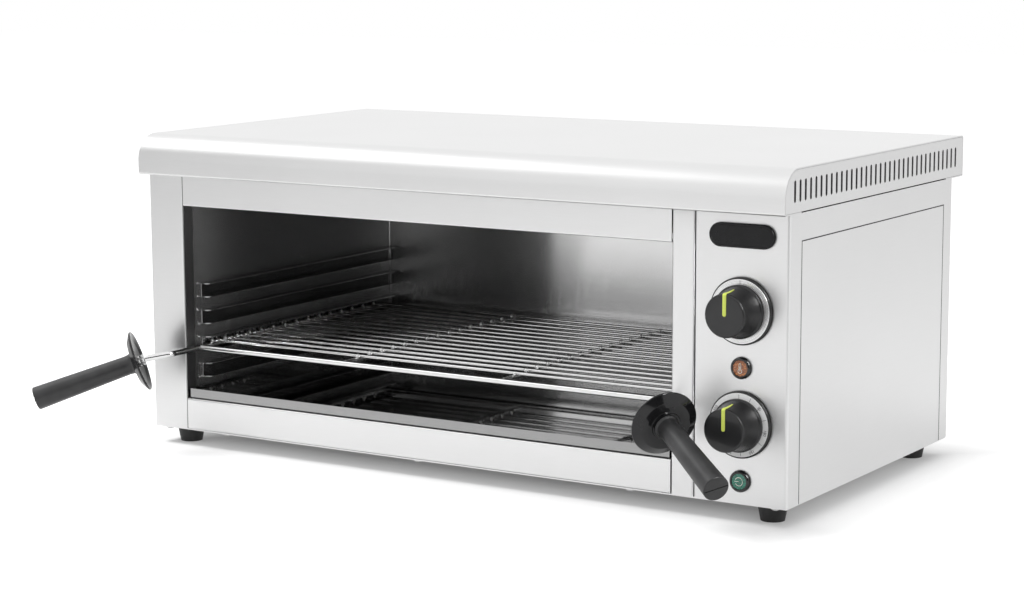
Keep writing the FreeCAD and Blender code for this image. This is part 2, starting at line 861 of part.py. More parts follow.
def lid_end(name, x):
    body = doc.addObject("PartDesign::Body", name)
    inset = "(sheet + lid_seam)"
    corners = (
        ("lid_y + " + inset, "body_high + " + inset),
        ("lid_back - " + inset, "body_high + " + inset),
        ("lid_back - " + inset, "lid_z - " + inset),
        ("lid_y + " + inset, "lid_z - " + inset),
    )
    sketch = outline(body, name + "_outline", "YZ_Plane", corners)
    sketch.setExpression("AttachmentOffset.Base.z", formula(x))
    pad = body.newObject("PartDesign::Pad", name + "_plate")
    pad.Profile = sketch
    pad.setExpression("Length", formula("sheet"))
    doc.recompute()
    gap = v.sheet + v.lid_seam
    round_off(
        body,
        name + "_front_round",
        lambda e: along(e, y=v.lid_y + gap, z=v.lid_z - gap),
        "lid_front_r - sheet - lid_seam",
    )
    round_off(
        body,
        name + "_rear_round",
        lambda e: along(e, y=v.lid_back - gap, z=v.lid_z - gap),
        "lid_rear_r - sheet - lid_seam",
    )
    slot_z = "body_high + (lid_high - vent_long) / 2"
    slot = box(
        name + "_slot",
        ("(%s) - sheet" % x, "lid_y + vent_margin - vent_wide / 2", slot_z + " + vent_wide / 2"),
        ("3 * sheet", "vent_wide", "vent_long - vent_wide"),
    )
    ends = [
        cylinder(
            name + "_slot_" + place,
            "vent_wide / 2",
            "3 * sheet",
            ("(%s) - sheet" % x, "lid_y + vent_margin", z),
            "+x",
        )
        for place, z in (("low", slot_z + " + vent_wide / 2"), ("high", slot_z + " + vent_long - vent_wide / 2"))
    ]
    row = doc.addObject("Part::Feature", name + "_slots")
    doc.recompute()
    single = slot.Shape.fuse([end.Shape for end in ends])
    copies = [
        single.translated(Vector(0, i * v.vent_pitch, 0))
        for i in range(int(v.vent_count))
    ]
    row.Shape = Part.makeCompound(copies)
    return cut(name + "_pierced", body, [row])


node(lid_end("left_end", "lid_left"), "lid_end_left")
node(lid_end("right_end", "lid_right - sheet"), "lid_end_right")


# Rack rails: four channels on each cavity wall, open towards the cavity.
def rack_channel(side, level):
    name = "%s_channel_%d" % (side, level)
    wall = "left_x" if side == "left" else "right_x"
    sign = "+" if side == "left" else "-"
    low = "rail_first + %d * rail_pitch" % level
    far = "%s %s rail_reach" % (wall, sign)
    web = "%s %s sheet" % (wall, sign)
    corners = (
        (wall, low),
        (far, low),
        (far, low + " + sheet"),
        (web, low + " + sheet"),
        (web, low + " + rail_high - sheet"),
        (far, low + " + rail_high - sheet"),
        (far, low + " + rail_high"),
        (wall, low + " + rail_high"),
    )
    body = bent_sheet(name, "XZ_Plane", corners, "rail_front", "rear_y - rail_rear_gap - rail_front")
    edge_x = v.left_x + v.rail_reach if side == "left" else v.right_x - v.rail_reach
    return round_off(body, name + "_nose", lambda e: along(e, x=edge_x, y=v.rail_front), "rail_nose_r")


for side in ("left", "right"):
    channels = [rack_channel(side, level) for level in range(int(v.rail_count))]
    node(group(side + "_channels", channels), "rack_rails_" + side)

# Crumb tray and the ledges that carry it
tray_outer = doc.addObject("PartDesign::Body", "tray_outer")
tray_sketch = outline(
    tray_outer,
    "tray_outline",
    "XY_Plane",
    (
        ("left_x + tray_side", "tray_front"),
        ("right_x - tray_side", "tray_front"),
        ("right_x - tray_side", "rear_y - tray_rear"),
        ("left_x + tray_side", "rear_y - tray_rear"),
    ),
)
tray_sketch.setExpression("AttachmentOffset.Base.z", formula("tray_z"))
tray_pad = tray_outer.newObject("PartDesign::Pad", "tray_block")
tray_pad.Profile = tray_sketch
tray_pad.setExpression("Length", formula("tray_high"))
doc.recompute()
tray_inner = box(
    "tray_inner",
    ("left_x + tray_side + sheet", "tray_front + sheet", "tray_z + sheet"),
    ("right_x - left_x - 2 * tray_side - 2 * sheet", "rear_y - tray_rear - tray_front - 2 * sheet", "tray_high"),
)
node(cut("tray_pan", tray_outer, [tray_inner]), "crumb_tray")

ledges = []
for side, flat, upright in (
    ("left", "left_x", "left_x"),
    ("right", "right_x - ledge_w", "right_x - sheet"),
):
    ledge_flat = box(
        side + "_ledge_flat",
        (flat, "ledge_front", "ledge_z - sheet"),
        ("ledge_w", "rear_y - rail_rear_gap - ledge_front", "sheet"),
    )
    ledge_upright = box(
        side + "_ledge_upright",
        (upright, "ledge_front", "ledge_z - ledge_w"),
        ("sheet", "rear_y - rail_rear_gap - ledge_front", "ledge_w"),
    )
    ledges.append(fuse(side + "_ledge", [ledge_flat, ledge_upright]))
node(group("ledge_pair", ledges), "tray_ledges")

# Heating elements, their hangers, bushings and terminals
for name, near in (("front", "element_front"), ("rear", "element_rear")):
    y = getattr(v, near)
    tail_x = v.right_x + v.element_tail
    bend_x = v.left_x + v.element_left
    legs = [
        Vector(tail_x, y, v.element_z),
        Vector(bend_x, y, v.element_z),
        Vector(bend_x, y + v.element_span, v.element_z),
        Vector(tail_x, y + v.element_span, v.element_z),
    ]
    shaped("heating_element_" + name, tube(legs, v.element_r, [v.element_bend_r, v.element_bend_r]))

hanger_plates = []
for i, (near, x) in enumerate(
    [(near, x) for near in ("element_front", "element_rear") for x in ("hanger_first", "hanger_second")]
):
    plate = box(
        "hanger_plate_%d" % i,
        ("left_x + " + x, near + " - hanger_lap", "element_z - element_r - 2 * sheet"),
        ("hanger_thick", "element_span + 2 * hanger_lap", "element_drop + element_r + sheet"),
    )
    bores = [
        cylinder(
            "hanger_bore_%d_%d" % (i, j),
            "element_r + element_fit",
            "3 * hanger_thick",
            ("left_x + %s - hanger_thick" % x, y, "element_z"),
            "+x",
        )
        for j, y in enumerate((near, near + " + element_span"))
    ]
    hanger_plates.append(cut("hanger_%d" % i, plate, bores))
node(group("hangers", hanger_plates), "element_hangers")

bushings = []
terminals = []
for name, y in ELEMENT_LEGS:
    collar = cylinder("collar_" + name, "bushing_r", "bushing_long", ("right_x + sheet", y, "element_z"), "+x")
    bore = cylinder(
        "collar_bore_" + name,
        "element_r + element_fit / 2",
        "3 * bushing_long",
        ("right_x - bushing_long", y, "element_z"),
        "+x",
    )
    bushings.append(cut("bushing_" + name, collar, [bore]))
    bead = cylinder(
        "bead_" + name, "ceramic_r", "ceramic_long", ("right_x + element_tail", y, "element_z"), "+x"
    )
    stud = cylinder(
        "stud_" + name,
        "stud_r",
        "stud_long",
        ("right_x + element_tail + ceramic_long", y, "element_z"),
        "+x",
    )
    terminals.append(fuse("terminal_" + name, [bead, stud]))
node(group("bushing_set", bushings), "element_bushings")
node(group("terminal_set", terminals), "element_terminals")

# Rack: bent side rods that run on into the handles, cross bars and wires
grip_axis = Vector(-v.grip_x, -v.grip_y, -v.grip_z)
guard_centre = Vector(v.guard_x, -v.guard_front, v.guard_z)
rod_turn = Vector(v.rod_x, -v.rod_front, v.rod_z)
rod_second = guard_centre - grip_axis * v.rod_lead
rod_tip = guard_centre + grip_axis * v.grip_bore_deep
rod_end = Vector(v.rod_x, v.rack_back + v.rack_bar_r, v.rod_z)
rod_points = [rod_end, rod_turn, rod_second, rod_tip]
rod_bends = [v.rod_bend_r, v.rod_bend_r]
shaped("rack_rod_left", tube(rod_points, v.rack_rod_r, rod_bends))
shaped("rack_rod_right", tube([mirrored(p) for p in rod_points], v.rack_rod_r, rod_bends))

rod_saddles = {
    name: [
        cylinder(
            "saddle_%s_%d" % (name, i),
            "rack_rod_r + weld_gap",
            "4 * rack_rod_r",
            (x, "%s - 2 * rack_rod_r" % y, "rod_z"),
            "+y",
        )
        for i, x in enumerate(("rod_x", "2 * mid_x - rod_x"))
    ]
    for name, y in (("front", "rack_front"), ("rear", "rack_back"))
}
for name, y in (("front", "rack_front"), ("rear", "rack_back")):
    bar = cylinder(
        "bar_" + name,
        "rack_bar_r",
        "2 * (mid_x - rod_x) - 2 * rack_rod_r + 2 * rack_bar_r",
        ("rod_x + rack_rod_r - rack_bar_r", y, "rod_z"),
        "+x",
    )
    node(cut("bar_%s_fitted" % name, bar, rod_saddles[name]), "rack_bar_" + name)

bar_saddles = [
    cylinder("bar_saddle_" + name, "rack_bar_r + weld_gap", "2 * (mid_x - rod_x)", ("rod_x", y, "rod_z"), "+x")
    for name, y in (("front", "rack_front"), ("rear", "rack_back"))
]
for name, share in (("left", "1 / 3"), ("right", "2 / 3")):
    bar = cylinder(
        "cross_" + name,
        "rack_cross_r",
        "rack_depth",
        ("rod_x + (2 * mid_x - 2 * rod_x) * %s" % share, "rack_front", "cross_z"),
        "+y",
    )
    node(cut("cross_%s_fitted" % name, bar, bar_saddles), "rack_cross_bar_" + name)

wires = [
    cylinder(
        "wire_%d" % i,
        "rack_wire_r",
        "2 * (mid_x - rod_x) + 2 * wire_overhang",
        ("rod_x - wire_overhang", "rack_front + %d * wire_pitch" % (i + 1), "wire_z"),
        "+x",
    )
    for i in range(int(v.wire_count))
]
node(group("wire_set", wires), "rack_wires")


# Handles: a dished guard, a tapered grip and two locked nuts on each rod
def along_handle(shape, side):
    """Stands a shape made along +Z at the guard's centre, pointing down the grip."""
    axis = grip_axis if side == "left" else Vector(-grip_axis.x, grip_axis.y, grip_axis.z)
    centre = guard_centre if side == "left" else mirrored(guard_centre)
    placed = shape.copy()
    placed.Placement = FreeCAD.Placement(centre, FreeCAD.Rotation(Vector(0, 0, 1), axis))
    return placed


def spun(corners):
    face = Part.Face(Part.makePolygon([Vector(r, 0, z) for r, z in corners + corners[:1]]))
    return face.revolve(Vector(0, 0, 0), Vector(0, 0, 1), 360)


bore_r = v.rack_rod_r + v.grip_fit
guard_shape = spun(
    [
        (bore_r, -v.guard_thick / 2),
        (v.guard_hub_r, -v.guard_thick / 2),
        (v.guard_r, -v.guard_dish),
        (v.guard_r, -v.guard_dish + v.guard_thick / 2),
        (v.guard_hub_r, v.guard_thick / 2),
        (bore_r, v.guard_thick / 2),
    ]
)
grip_shape = spun(
    [
        (bore_r, v.guard_thick / 2),
        (v.guard_hub_r, v.guard_thick / 2),
        (v.grip_neck_r, v.guard_thick / 2 + v.guard_dish),
        (v.grip_end_r, v.grip_long - v.grip_round),
        (v.grip_end_r - v.grip_round, v.grip_long),
        (0, v.grip_long),
        (0, v.grip_bore_deep),
        (bore_r, v.grip_bore_deep),
    ]
)
nut_corner = v.nut_flats / math.sqrt(3)
nuts = []
for i in range(2):
    nut_base = -v.guard_thick / 2 - v.nut_high - i * (v.nut_high + v.nut_gap)
    nut_ring = [
        Vector(nut_corner * math.cos(math.pi * j / 3), nut_corner * math.sin(math.pi * j / 3), nut_base)
        for j in range(7)
    ]
    nut_blank = Part.Face(Part.makePolygon(nut_ring)).extrude(Vector(0, 0, v.nut_high))
    nut_bore = Part.makeCylinder(bore_r, 3 * v.nut_high, Vector(0, 0, nut_base - v.nut_high))
    nuts.append(nut_blank.cut(nut_bore))
for side in ("left", "right"):
    shaped("handle_guard_" + side, along_handle(guard_shape, side))
    shaped("handle_grip_" + side, along_handle(grip_shape, side))
nut_set = [along_handle(nut, side) for nut in nuts for side in ("left", "right")]
shaped("handle_nuts", Part.makeCompound(nut_set))

# Control panel: dials, knobs, their switchgear, lamps and the bare plate
face_y = "-dial_thick - face_thick"
knob_y = "-dial_thick - face_thick - knob_gap"
KNOB_SECTION = (
    ("shaft_r + shaft_fit", "0"),
    ("knob_base_r", "0"),
    ("knob_base_r", "knob_skirt"),
    ("knob_face_r + knob_flare", "knob_high / 2"),
    ("knob_face_r", "knob_high - knob_round"),
    ("knob_face_r - knob_round", "knob_high"),
    ("0", "knob_high"),
    ("0", "shaft_out"),
    ("shaft_r + shaft_fit", "shaft_out"),
)
for name, height, gear, size in (
    ("upper", "upper_dial_z", "power_switch", ("switch_w", "switch_d", "switch_high")),
    ("lower", "lower_dial_z", "thermostat", ("thermostat_w", "thermostat_d", "thermostat_high")),
):
    centre = ("control_x", "0", height)
    rim = turned(
        "rim_" + name,
        (("dial_hole_r", "0"), ("dial_r", "0"), ("dial_r", "dial_thick"), ("dial_hole_r", "dial_thick")),
        centre,
        "-y",
    )
    node(rim, "dial_bezel_" + name)
    ring = turned(
        "ring_" + name,
        (
            ("dial_hole_r", "dial_thick"),
            ("face_r", "dial_thick"),
            ("face_r", "dial_thick + face_thick"),
            ("dial_hole_r", "dial_thick + face_thick"),
        ),
        centre,
        "-y",
    )
    node(ring, "dial_face_" + name)
    knob = turned("cap_" + name, KNOB_SECTION, ("control_x", knob_y, height), "-y")
    node(knob, "knob_" + name)
    pointer = box(
        "mark_" + name,
        (
            "control_x - pointer_w / 2",
            "%s - knob_high - pointer_thick" % knob_y,
            height + " - pointer_tail",
        ),
        ("pointer_w", "pointer_thick", "knob_face_r - knob_round + pointer_tail"),
    )
    node(pointer, "knob_pointer_" + name)
    shaft = cylinder(
        "spindle_" + name,
        "shaft_r",
        "shaft_out + dial_thick + face_thick + knob_gap + sheet + shaft_in",
        ("control_x", "sheet + shaft_in", height),
        "-y",
    )
    node(shaft, gear + "_shaft")
    case = box(
        "case_" + name,
        ("control_x - %s / 2" % size[0], "sheet", "%s - %s / 2" % (height, size[2])),
        size,
    )
    case_bore = cylinder(
        "case_bore_" + name,
        "shaft_r + shaft_fit",
        "shaft_in + sheet",
        ("control_x", "sheet + shaft_in", height),
        "-y",
    )
    node(cut("case_%s_bored" % name, case, [case_bore]), gear + "_body")

for name, height in (("heating", "heat_lamp_z"), ("power", "power_lamp_z")):
    centre = ("control_x", "0", height)
    holder = turned(
        name + "_holder",
        (
            ("0", "-lamp_barrel_long"),
            ("lamp_barrel_r", "-lamp_barrel_long"),
            ("lamp_barrel_r", "0"),
            ("lamp_bezel_r", "0"),
            ("lamp_bezel_r", "lamp_bezel_high - sheet / 2"),
            ("lamp_bezel_r - sheet / 2", "lamp_bezel_high"),
            ("lamp_lens_r + lamp_lens_fit", "lamp_bezel_high"),
            ("lamp_lens_r + lamp_lens_fit", "lamp_bezel_high - lamp_recess"),
            ("0", "lamp_bezel_high - lamp_recess"),
        ),
        centre,
        "-y",
    )
    node(holder, name + "_lamp_holder")
    lens = turned(
        name + "_window",
        (
            ("0", "lamp_bezel_high - lamp_recess"),
            ("lamp_lens_r", "lamp_bezel_high - lamp_recess"),
            ("lamp_lens_r", "lamp_bezel_high - lamp_recess + lamp_lens_high - sheet / 2"),
            ("lamp_lens_r - sheet", "lamp_bezel_high - lamp_recess + lamp_lens_high"),
            ("0", "lamp_bezel_high - lamp_recess + lamp_lens_high"),
        ),
        centre,
        "-y",
    )
    node(lens, name + "_lamp_lens")

badge_core = box(
    "badge_core",
    ("control_x - (badge_long - badge_high) / 2", "-badge_thick", "badge_z - badge_high / 2"),
    ("badge_long - badge_high", "badge_thick", "badge_high"),
)
badge_ends = [
    cylinder(
        "badge_end_" + name,
        "badge_high / 2",
        "badge_thick",
        ("control_x %s (badge_long - badge_high) / 2" % sign, "0", "badge_z"),
        "-y",
    )
    for name, sign in (("left", "-"), ("right", "+"))
]
node(fuse("badge", [badge_core] + badge_ends), "blank_plate")

# Feet and screws
feet = []
for name, (x, y) in FEET.items():
    cone_block = cone("foot_%s_cone" % name, "foot_end_r", "foot_top_r", "stand_high - sheet", (x, y, "-stand_high"))
    recess = cylinder("foot_%s_recess" % name, "foot_recess_r", "foot_recess", (x, y, "-stand_high"))
    bore = cylinder("foot_%s_bore" % name, "screw_r + screw_fit", "stand_high", (x, y, "-stand_high"))
    feet.append(cut("foot_%s_block" % name, cone_block, [recess, bore]))
node(group("foot_set", feet), "feet")


def screw(name, x, y, z, turn, length, head_r="screw_head_r"):
    """A pan-head screw: the head's seat lies at the place given, the shank points along turn."""
    back = {"+z": "-z", "-y": "+y"}[turn]
    head = cylinder(name + "_head", head_r, "screw_head", (x, y, z), back)
    shank = cylinder(name + "_shank", "screw_r", length, (x, y, z), turn)
    return fuse(name, [head, shank])


foot_seat = "foot_recess - stand_high"
foot_screws = []
for i, (x, y) in enumerate(FEET.values()):
    foot_screws.append(
        screw("foot_screw_%d" % i, x, y, foot_seat, "+z", "stand_high - foot_recess + foot_nut_high + sheet")
    )
    nut = doc.addObject("Part::Prism", "foot_nut_%d" % i)
    bind(nut, Circumradius="foot_nut_r", Height="foot_nut_high")
    nut.Polygon = 6
    put(nut, (x, y, "0"))
    thread = cylinder("foot_thread_%d" % i, "screw_r + screw_fit / 3", "2 * foot_nut_high", (x, y, "-sheet"))
    foot_screws.append(cut("foot_nut_%d_tapped" % i, nut, [thread]))
node(group("foot_screw_set", foot_screws), "foot_screws")

case_screws = [
    screw("base_screw_%d" % i, x, y, "-sheet", "+z", "screw_tail")
    for i, (x, y) in enumerate(BASE_SCREWS)
]
case_screws += [
    screw("rear_screw_%d" % i, x, "body_d", z, "-y", "screw_tail")
    for i, (x, z) in enumerate(REAR_SCREWS)
]
node(group("case_screw_set", case_screws), "case_screws")

# Cable gland, terminal block, thermostat probe and wiring
gland_x = "body_w - gland_in"
gland = turned(
    "gland_blank",
    (
        ("gland_bore_r", "-gland_tail"),
        ("gland_hole_r", "-gland_tail"),
        ("gland_hole_r", "0"),
        ("gland_flange_r", "0"),
        ("gland_flange_r", "gland_flange"),
        ("gland_nose_r", "gland_flange"),
        ("gland_nose_r - sheet", "gland_flange + gland_nose"),
        ("gland_bore_r", "gland_flange + gland_nose"),
    ),
    (gland_x, "body_d", "gland_z"),
    "+y",
)
gland_hex = doc.addObject("Part::Prism", "gland_hex")
bind(gland_hex, Circumradius="gland_nut_r", Height="gland_nut")
gland_hex.Polygon = 6
put(gland_hex, (gland_x, "rear_y", "gland_z"), "-y")
gland_thread = cylinder(
    "gland_thread", "gland_hole_r + gland_fit / 3", "3 * gland_nut", (gland_x, "rear_y + gland_nut", "gland_z"), "-y"
)
gland_nut = cut("gland_nut_tapped", gland_hex, [gland_thread])
node(group("gland_set", [gland, gland_nut]), "cable_gland")

block_x = "body_w - block_in"
block_y = "rear_y - block_rear"
block_body = box("block_body", (block_x, block_y, "0"), ("block_w", "block_d", "block_high"))
block_wells = [
    cylinder(
        "block_well_%d" % i,
        "block_screw_r",
        "block_high / 2",
        ("%s + block_w * %d / 8" % (block_x, 2 * i + 1), "%s + block_d / 2" % block_y, "block_high / 2 + sheet"),
    )
    for i in range(4)
]
node(cut("block_drilled", block_body, block_wells), "terminal_block")

bulb_start = Vector(v.right_x - v.bulb_in - v.bulb_long, v.rear_y - v.bulb_rear, v.roof_z - v.bulb_drop)
bulb_stop = bulb_start + Vector(v.bulb_long, 0, 0)
bulb_solid = Part.makeCylinder(v.bulb_r, v.bulb_long, bulb_start, Vector(1, 0, 0))
wall_x = v.right_x + v.sheet + v.element_tail / 2
thermostat_back = v.sheet + v.thermostat_d
capillary_route = [
    bulb_stop,
    Vector(wall_x, bulb_stop.y, bulb_stop.z),
    Vector(wall_x, bulb_stop.y, v.lower_dial_z + v.thermostat_high / 4),
    Vector(wall_x, thermostat_back + 2 * v.bulb_rear, v.lower_dial_z + v.thermostat_high / 4),
    Vector(v.control_x, thermostat_back + 2 * v.bulb_rear, v.lower_dial_z + v.thermostat_high / 4),
    Vector(v.control_x, thermostat_back, v.lower_dial_z + v.thermostat_high / 4),
]
capillary_bends = [v.rod_bend_r] * (len(capillary_route) - 2)
capillary = tube(capillary_route, v.capillary_r, capillary_bends)
shaped("thermostat_probe", bulb_solid.fuse(capillary))

clip_plates = []
for i, share in enumerate(("1 / 4", "3 / 4")):
    x = "right_x - bulb_in - bulb_long * %s" % share
    plate = box(
        "clip_plate_%d" % i,
        (x, "%s - clip_wide / 2" % bulb_y, "%s - bulb_r - 2 * sheet" % bulb_z),
        ("clip_thick", "clip_wide", "bulb_drop + bulb_r + sheet"),
    )
    bore = cylinder(
        "clip_bore_%d" % i, "bulb_r + clip_fit", "3 * clip_thick", (x + " - clip_thick", bulb_y, bulb_z), "+x"
    )
    clip_plates.append(cut("clip_%d" % i, plate, [bore]))
node(group("clip_set", clip_plates), "probe_clips")


def lead(route):
    """A wire along a route, with arcs nearly as large as its runs allow."""
    bends = []
    for before, corner, after in zip(route, route[1:], route[2:]):
        run = min(corner.distanceToPoint(before), corner.distanceToPoint(after))
        half = (before - corner).getAngle(after - corner) / 2
        bends.append(v.lead_bend * run * math.tan(half))
    return tube(route, v.lead_r, bends)


leads = []
switch_back = v.sheet + v.switch_d
for i, (back_y, back_z) in enumerate(
    (
        (switch_back, v.upper_dial_z - v.switch_high / 4),
        (v.sheet + v.thermostat_d, v.lower_dial_z - v.thermostat_high / 4),
        (v.lamp_barrel_long, v.heat_lamp_z),
        (v.lamp_barrel_long, v.power_lamp_z),
    )
):
    well = Vector(
        v.body_w - v.block_in + v.block_w * (2 * i + 1) / 8,
        v.rear_y - v.block_rear + v.block_d / 2,
        v.block_high / 2 + v.sheet,
    )
    back = Vector(v.control_x + (i - 1) * v.lead_step, back_y, back_z)
    rise = Vector(0, 0, v.block_high + (4 - i) * v.lead_step)
    tail = Vector(0, v.lead_tail, 0)
    leads.append(lead([well, well + rise, back + tail * 2, back]))
for i, (name, rule) in enumerate(ELEMENT_LEGS):
    near = v.element_front if name.startswith("front") else v.element_rear
    stud = Vector(
        v.right_x + v.element_tail + v.ceramic_long + v.stud_long,
        near + (v.element_span if name.endswith("b") else 0),
        v.element_z,
    )
    lane = stud + Vector((i + 2) * v.lead_step, 0, 0)
    back = Vector(v.control_x + (i - 2) * v.lead_step, switch_back, v.upper_dial_z + v.switch_high / 4)
    front = Vector(lane.x, switch_back + (4 - i) * v.lead_tail / 2, v.element_z - v.lead_tail)
    tail = Vector(0, v.lead_tail, 0)
    leads.append(lead([stud, lane, front, back + tail, back]))
shaped("wiring", Part.makeCompound(leads))

# Check every object, then write one file for each sub-part.
doc.recompute()
bad = [item.Name for item in doc.Objects if "Invalid" in item.State or "Error" in item.State]
if bad:
    raise RuntimeError("failed objects: " + ", ".join(bad))
os.makedirs("parts", exist_ok=True)
for name, item in nodes:
    shape = item.Shape
    if shape.isNull() or not shape.isValid() or shape.Volume <= 0:
        raise RuntimeError(name + " has no sound shape")
    shape.exportStep("parts/" + name + ".step")
print("%d sub-parts written" % len(nodes))
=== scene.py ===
from math import asin, copysign, cos, pi, radians, sin, sqrt, tan

import bmesh
import bpy
from mathutils import Matrix, Vector


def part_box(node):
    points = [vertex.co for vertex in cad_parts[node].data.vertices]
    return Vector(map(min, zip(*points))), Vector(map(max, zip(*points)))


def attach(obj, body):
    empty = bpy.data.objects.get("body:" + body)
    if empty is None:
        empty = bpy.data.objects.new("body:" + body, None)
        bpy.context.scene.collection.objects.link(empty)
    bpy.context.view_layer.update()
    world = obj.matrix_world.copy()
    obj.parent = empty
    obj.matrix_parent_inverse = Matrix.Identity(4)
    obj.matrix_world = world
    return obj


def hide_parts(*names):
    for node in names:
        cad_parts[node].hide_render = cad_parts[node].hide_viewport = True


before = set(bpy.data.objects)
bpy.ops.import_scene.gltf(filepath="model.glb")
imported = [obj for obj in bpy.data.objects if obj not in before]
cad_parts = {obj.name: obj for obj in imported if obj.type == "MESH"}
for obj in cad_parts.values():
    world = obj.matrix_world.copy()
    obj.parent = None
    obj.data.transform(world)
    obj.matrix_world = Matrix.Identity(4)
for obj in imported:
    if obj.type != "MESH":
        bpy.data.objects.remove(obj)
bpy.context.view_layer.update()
print("frame loaded: %d nodes" % len(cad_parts))

mm = 0.001
caseLow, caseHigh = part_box("left_casing")
frontY = caseLow.y  # the sheet-metal front, behind the knobs and handles


# Mesh helpers

def newPiece(name, mesh):
    piece = bpy.data.objects.new(name, mesh)
    bpy.context.collection.objects.link(piece)
    return piece


def meshOf(name, points, faces):
    mesh = bpy.data.meshes.new(name)
    mesh.from_pydata([tuple(p) for p in points], [], faces)
    mesh.update()
    return mesh


def smoothen(mesh, sharpAngle):
    # smooth shading, with a crease where two faces meet at more than the angle
    mesh.polygons.foreach_set("use_smooth", [True] * len(mesh.polygons))
    mesh.set_sharp_from_angle(angle=radians(sharpAngle))
    mesh.update()


def roundedPath(corners, steps=5):
    # corners are (x, y) or (x, y, radius); a radius turns the corner into an arc
    path = []
    for i, corner in enumerate(corners):
        point = Vector(corner[:2])
        if len(corner) < 3 or i in (0, len(corners) - 1):
            path.append(point)
            continue
        toLast = (Vector(corners[i - 1][:2]) - point).normalized()
        toNext = (Vector(corners[i + 1][:2]) - point).normalized()
        half = toLast.angle(toNext) / 2
        reach = corner[2] / tan(half)
        centre = point + (toLast + toNext).normalized() * (corner[2] / sin(half))
        start = point + toLast * reach - centre
        turn = (pi - 2 * half) * (1 if start.x * (-toLast.y) - start.y * (-toLast.x) > 0 else -1)
        path += [centre + Matrix.Rotation(angle, 2) @ start for angle in sweep(0, turn, steps)]
    return path


def sweep(start, end, steps):
    # evenly spaced values from the first to the last
    return [start + (end - start) * i / steps for i in range(steps + 1)]


def lathe(name, path, segments):
    # spins (radius, height) points about +Z; where the radius is nought they run together in a pole
    turns = sweep(0, 2 * pi, segments)[:-1]
    rings = [[(p[0] * cos(a), p[0] * sin(a), p[1]) for a in turns] for p in path]
    return skinned(name, rings, around=min(path[0][0], path[-1][0]) > 1e-7)


def faceOut(mesh):
    work = bmesh.new()
    work.from_mesh(mesh)
    bmesh.ops.remove_doubles(work, verts=work.verts, dist=1e-7)
    bmesh.ops.recalc_face_normals(work, faces=work.faces)
    work.to_mesh(mesh)
    work.free()
    mesh.update()
    return mesh


def skinned(name, rings, around=False):
    # rings of equally many points, each joined to the next; the end rings are filled, or meet
    count = len(rings[0])
    starts = [i * count for i in range(len(rings))]
    pairs = list(zip(starts, starts[1:])) + ([(starts[-1], 0)] if around else [])
    faces = [(a + j, a + (j + 1) % count, b + (j + 1) % count, b + j) for a, b in pairs for j in range(count)]
    if not around:
        faces += [tuple(range(count))[::-1], tuple(range(starts[-1], starts[-1] + count))]
    return faceOut(meshOf(name, [p for ring in rings for p in ring], faces))


def prism(name, outline, low, high):
    # a closed outline of (x, y) points drawn from one height to another
    return skinned(name, [[(p[0], p[1], height) for p in outline] for height in (low, high)])


def joined(name, meshes):
    work = bmesh.new()
    for mesh in meshes:
        work.from_mesh(mesh)
    result = bpy.data.meshes.new(name)
    work.to_mesh(result)
    work.free()
    for mesh in meshes:
        bpy.data.meshes.remove(mesh)
    return result


# a turned piece stands along -Y: its own X stays, its Y becomes up, its Z comes forward
standOut = Matrix(((1, 0, 0), (0, 0, -1), (0, 1, 0))).to_4x4()
# an outline in the side view: its X becomes the part's Y, its Y goes up, its depth runs along X
lieAcross = Matrix(((0, 0, 1), (1, 0, 0), (0, 1, 0))).to_4x4()


def seatAt(x, y, z, turn=standOut):
    return Matrix.Translation(Vector((x, y, z))) @ turn


def frontSeat(low, high, y=None):
    # the middle of a box seen from the front, at its back unless another depth is given
    return seatAt((low.x + high.x) / 2, high.y if y is None else y, (low.z + high.z) / 2)


def moved(mesh, matrix):
    mesh.transform(matrix)
    return mesh


def applied(mesh, kind, **settings):
    # what a modifier makes of a mesh, under the same name
    name = mesh.name
    holder = newPiece(name, mesh)
    modifier = holder.modifiers.new(name, kind)
    for key, value in settings.items():
        if hasattr(modifier, key):
            setattr(modifier, key, value)
        else:
            modifier[key] = value
    graph = bpy.context.evaluated_depsgraph_get()
    graph.update()
    result = bpy.data.meshes.new_from_object(holder.evaluated_get(graph))
    bpy.data.objects.remove(holder)
    bpy.data.meshes.remove(mesh)
    result.name = name
    return result


def carved(mesh, cutterMesh):
    cutter = newPiece("cutter", cutterMesh)
    result = applied(mesh, "BOOLEAN", operation="DIFFERENCE", solver="EXACT", object=cutter)
    bpy.data.objects.remove(cutter)
    return result


def tubeMesh(name, points, radius, sides, closed=False):
    curve = bpy.data.curves.new(name, "CURVE")
    curve.dimensions = "3D"
    curve.bevel_depth = radius
    curve.bevel_resolution = max(1, sides // 4 - 1)
    curve.use_fill_caps = True
    spline = curve.splines.new("POLY")
    spline.points.add(len(points) - 1)
    for place, p in zip(spline.points, points):
        place.co = (*p, 1)
    spline.use_cyclic_u = closed
    holder = bpy.data.objects.new(name, curve)
    mesh = bpy.data.meshes.new_from_object(holder)
    bpy.data.objects.remove(holder)
    bpy.data.curves.remove(curve)
    return faceOut(mesh)


def solidsOf(name):
    # the separate solids of a CAD node, each as the low and high corner of its box
    work = bmesh.new()
    work.from_mesh(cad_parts[name].data)
    bmesh.ops.remove_doubles(work, verts=work.verts, dist=1e-6)
    left, boxes = set(work.verts), []
    while left:
        queue, found = [left.pop()], []
        while queue:
            vert = queue.pop()
            found.append(vert.co.copy())
            near = left.intersection(edge.other_vert(vert) for edge in vert.link_edges)
            left -= near
            queue += near
        boxes.append([Vector(pick(p[i] for p in found) for i in range(3)) for pick in (min, max)])
    work.free()
    return sorted(boxes, key=lambda pair: tuple(pair[0]))


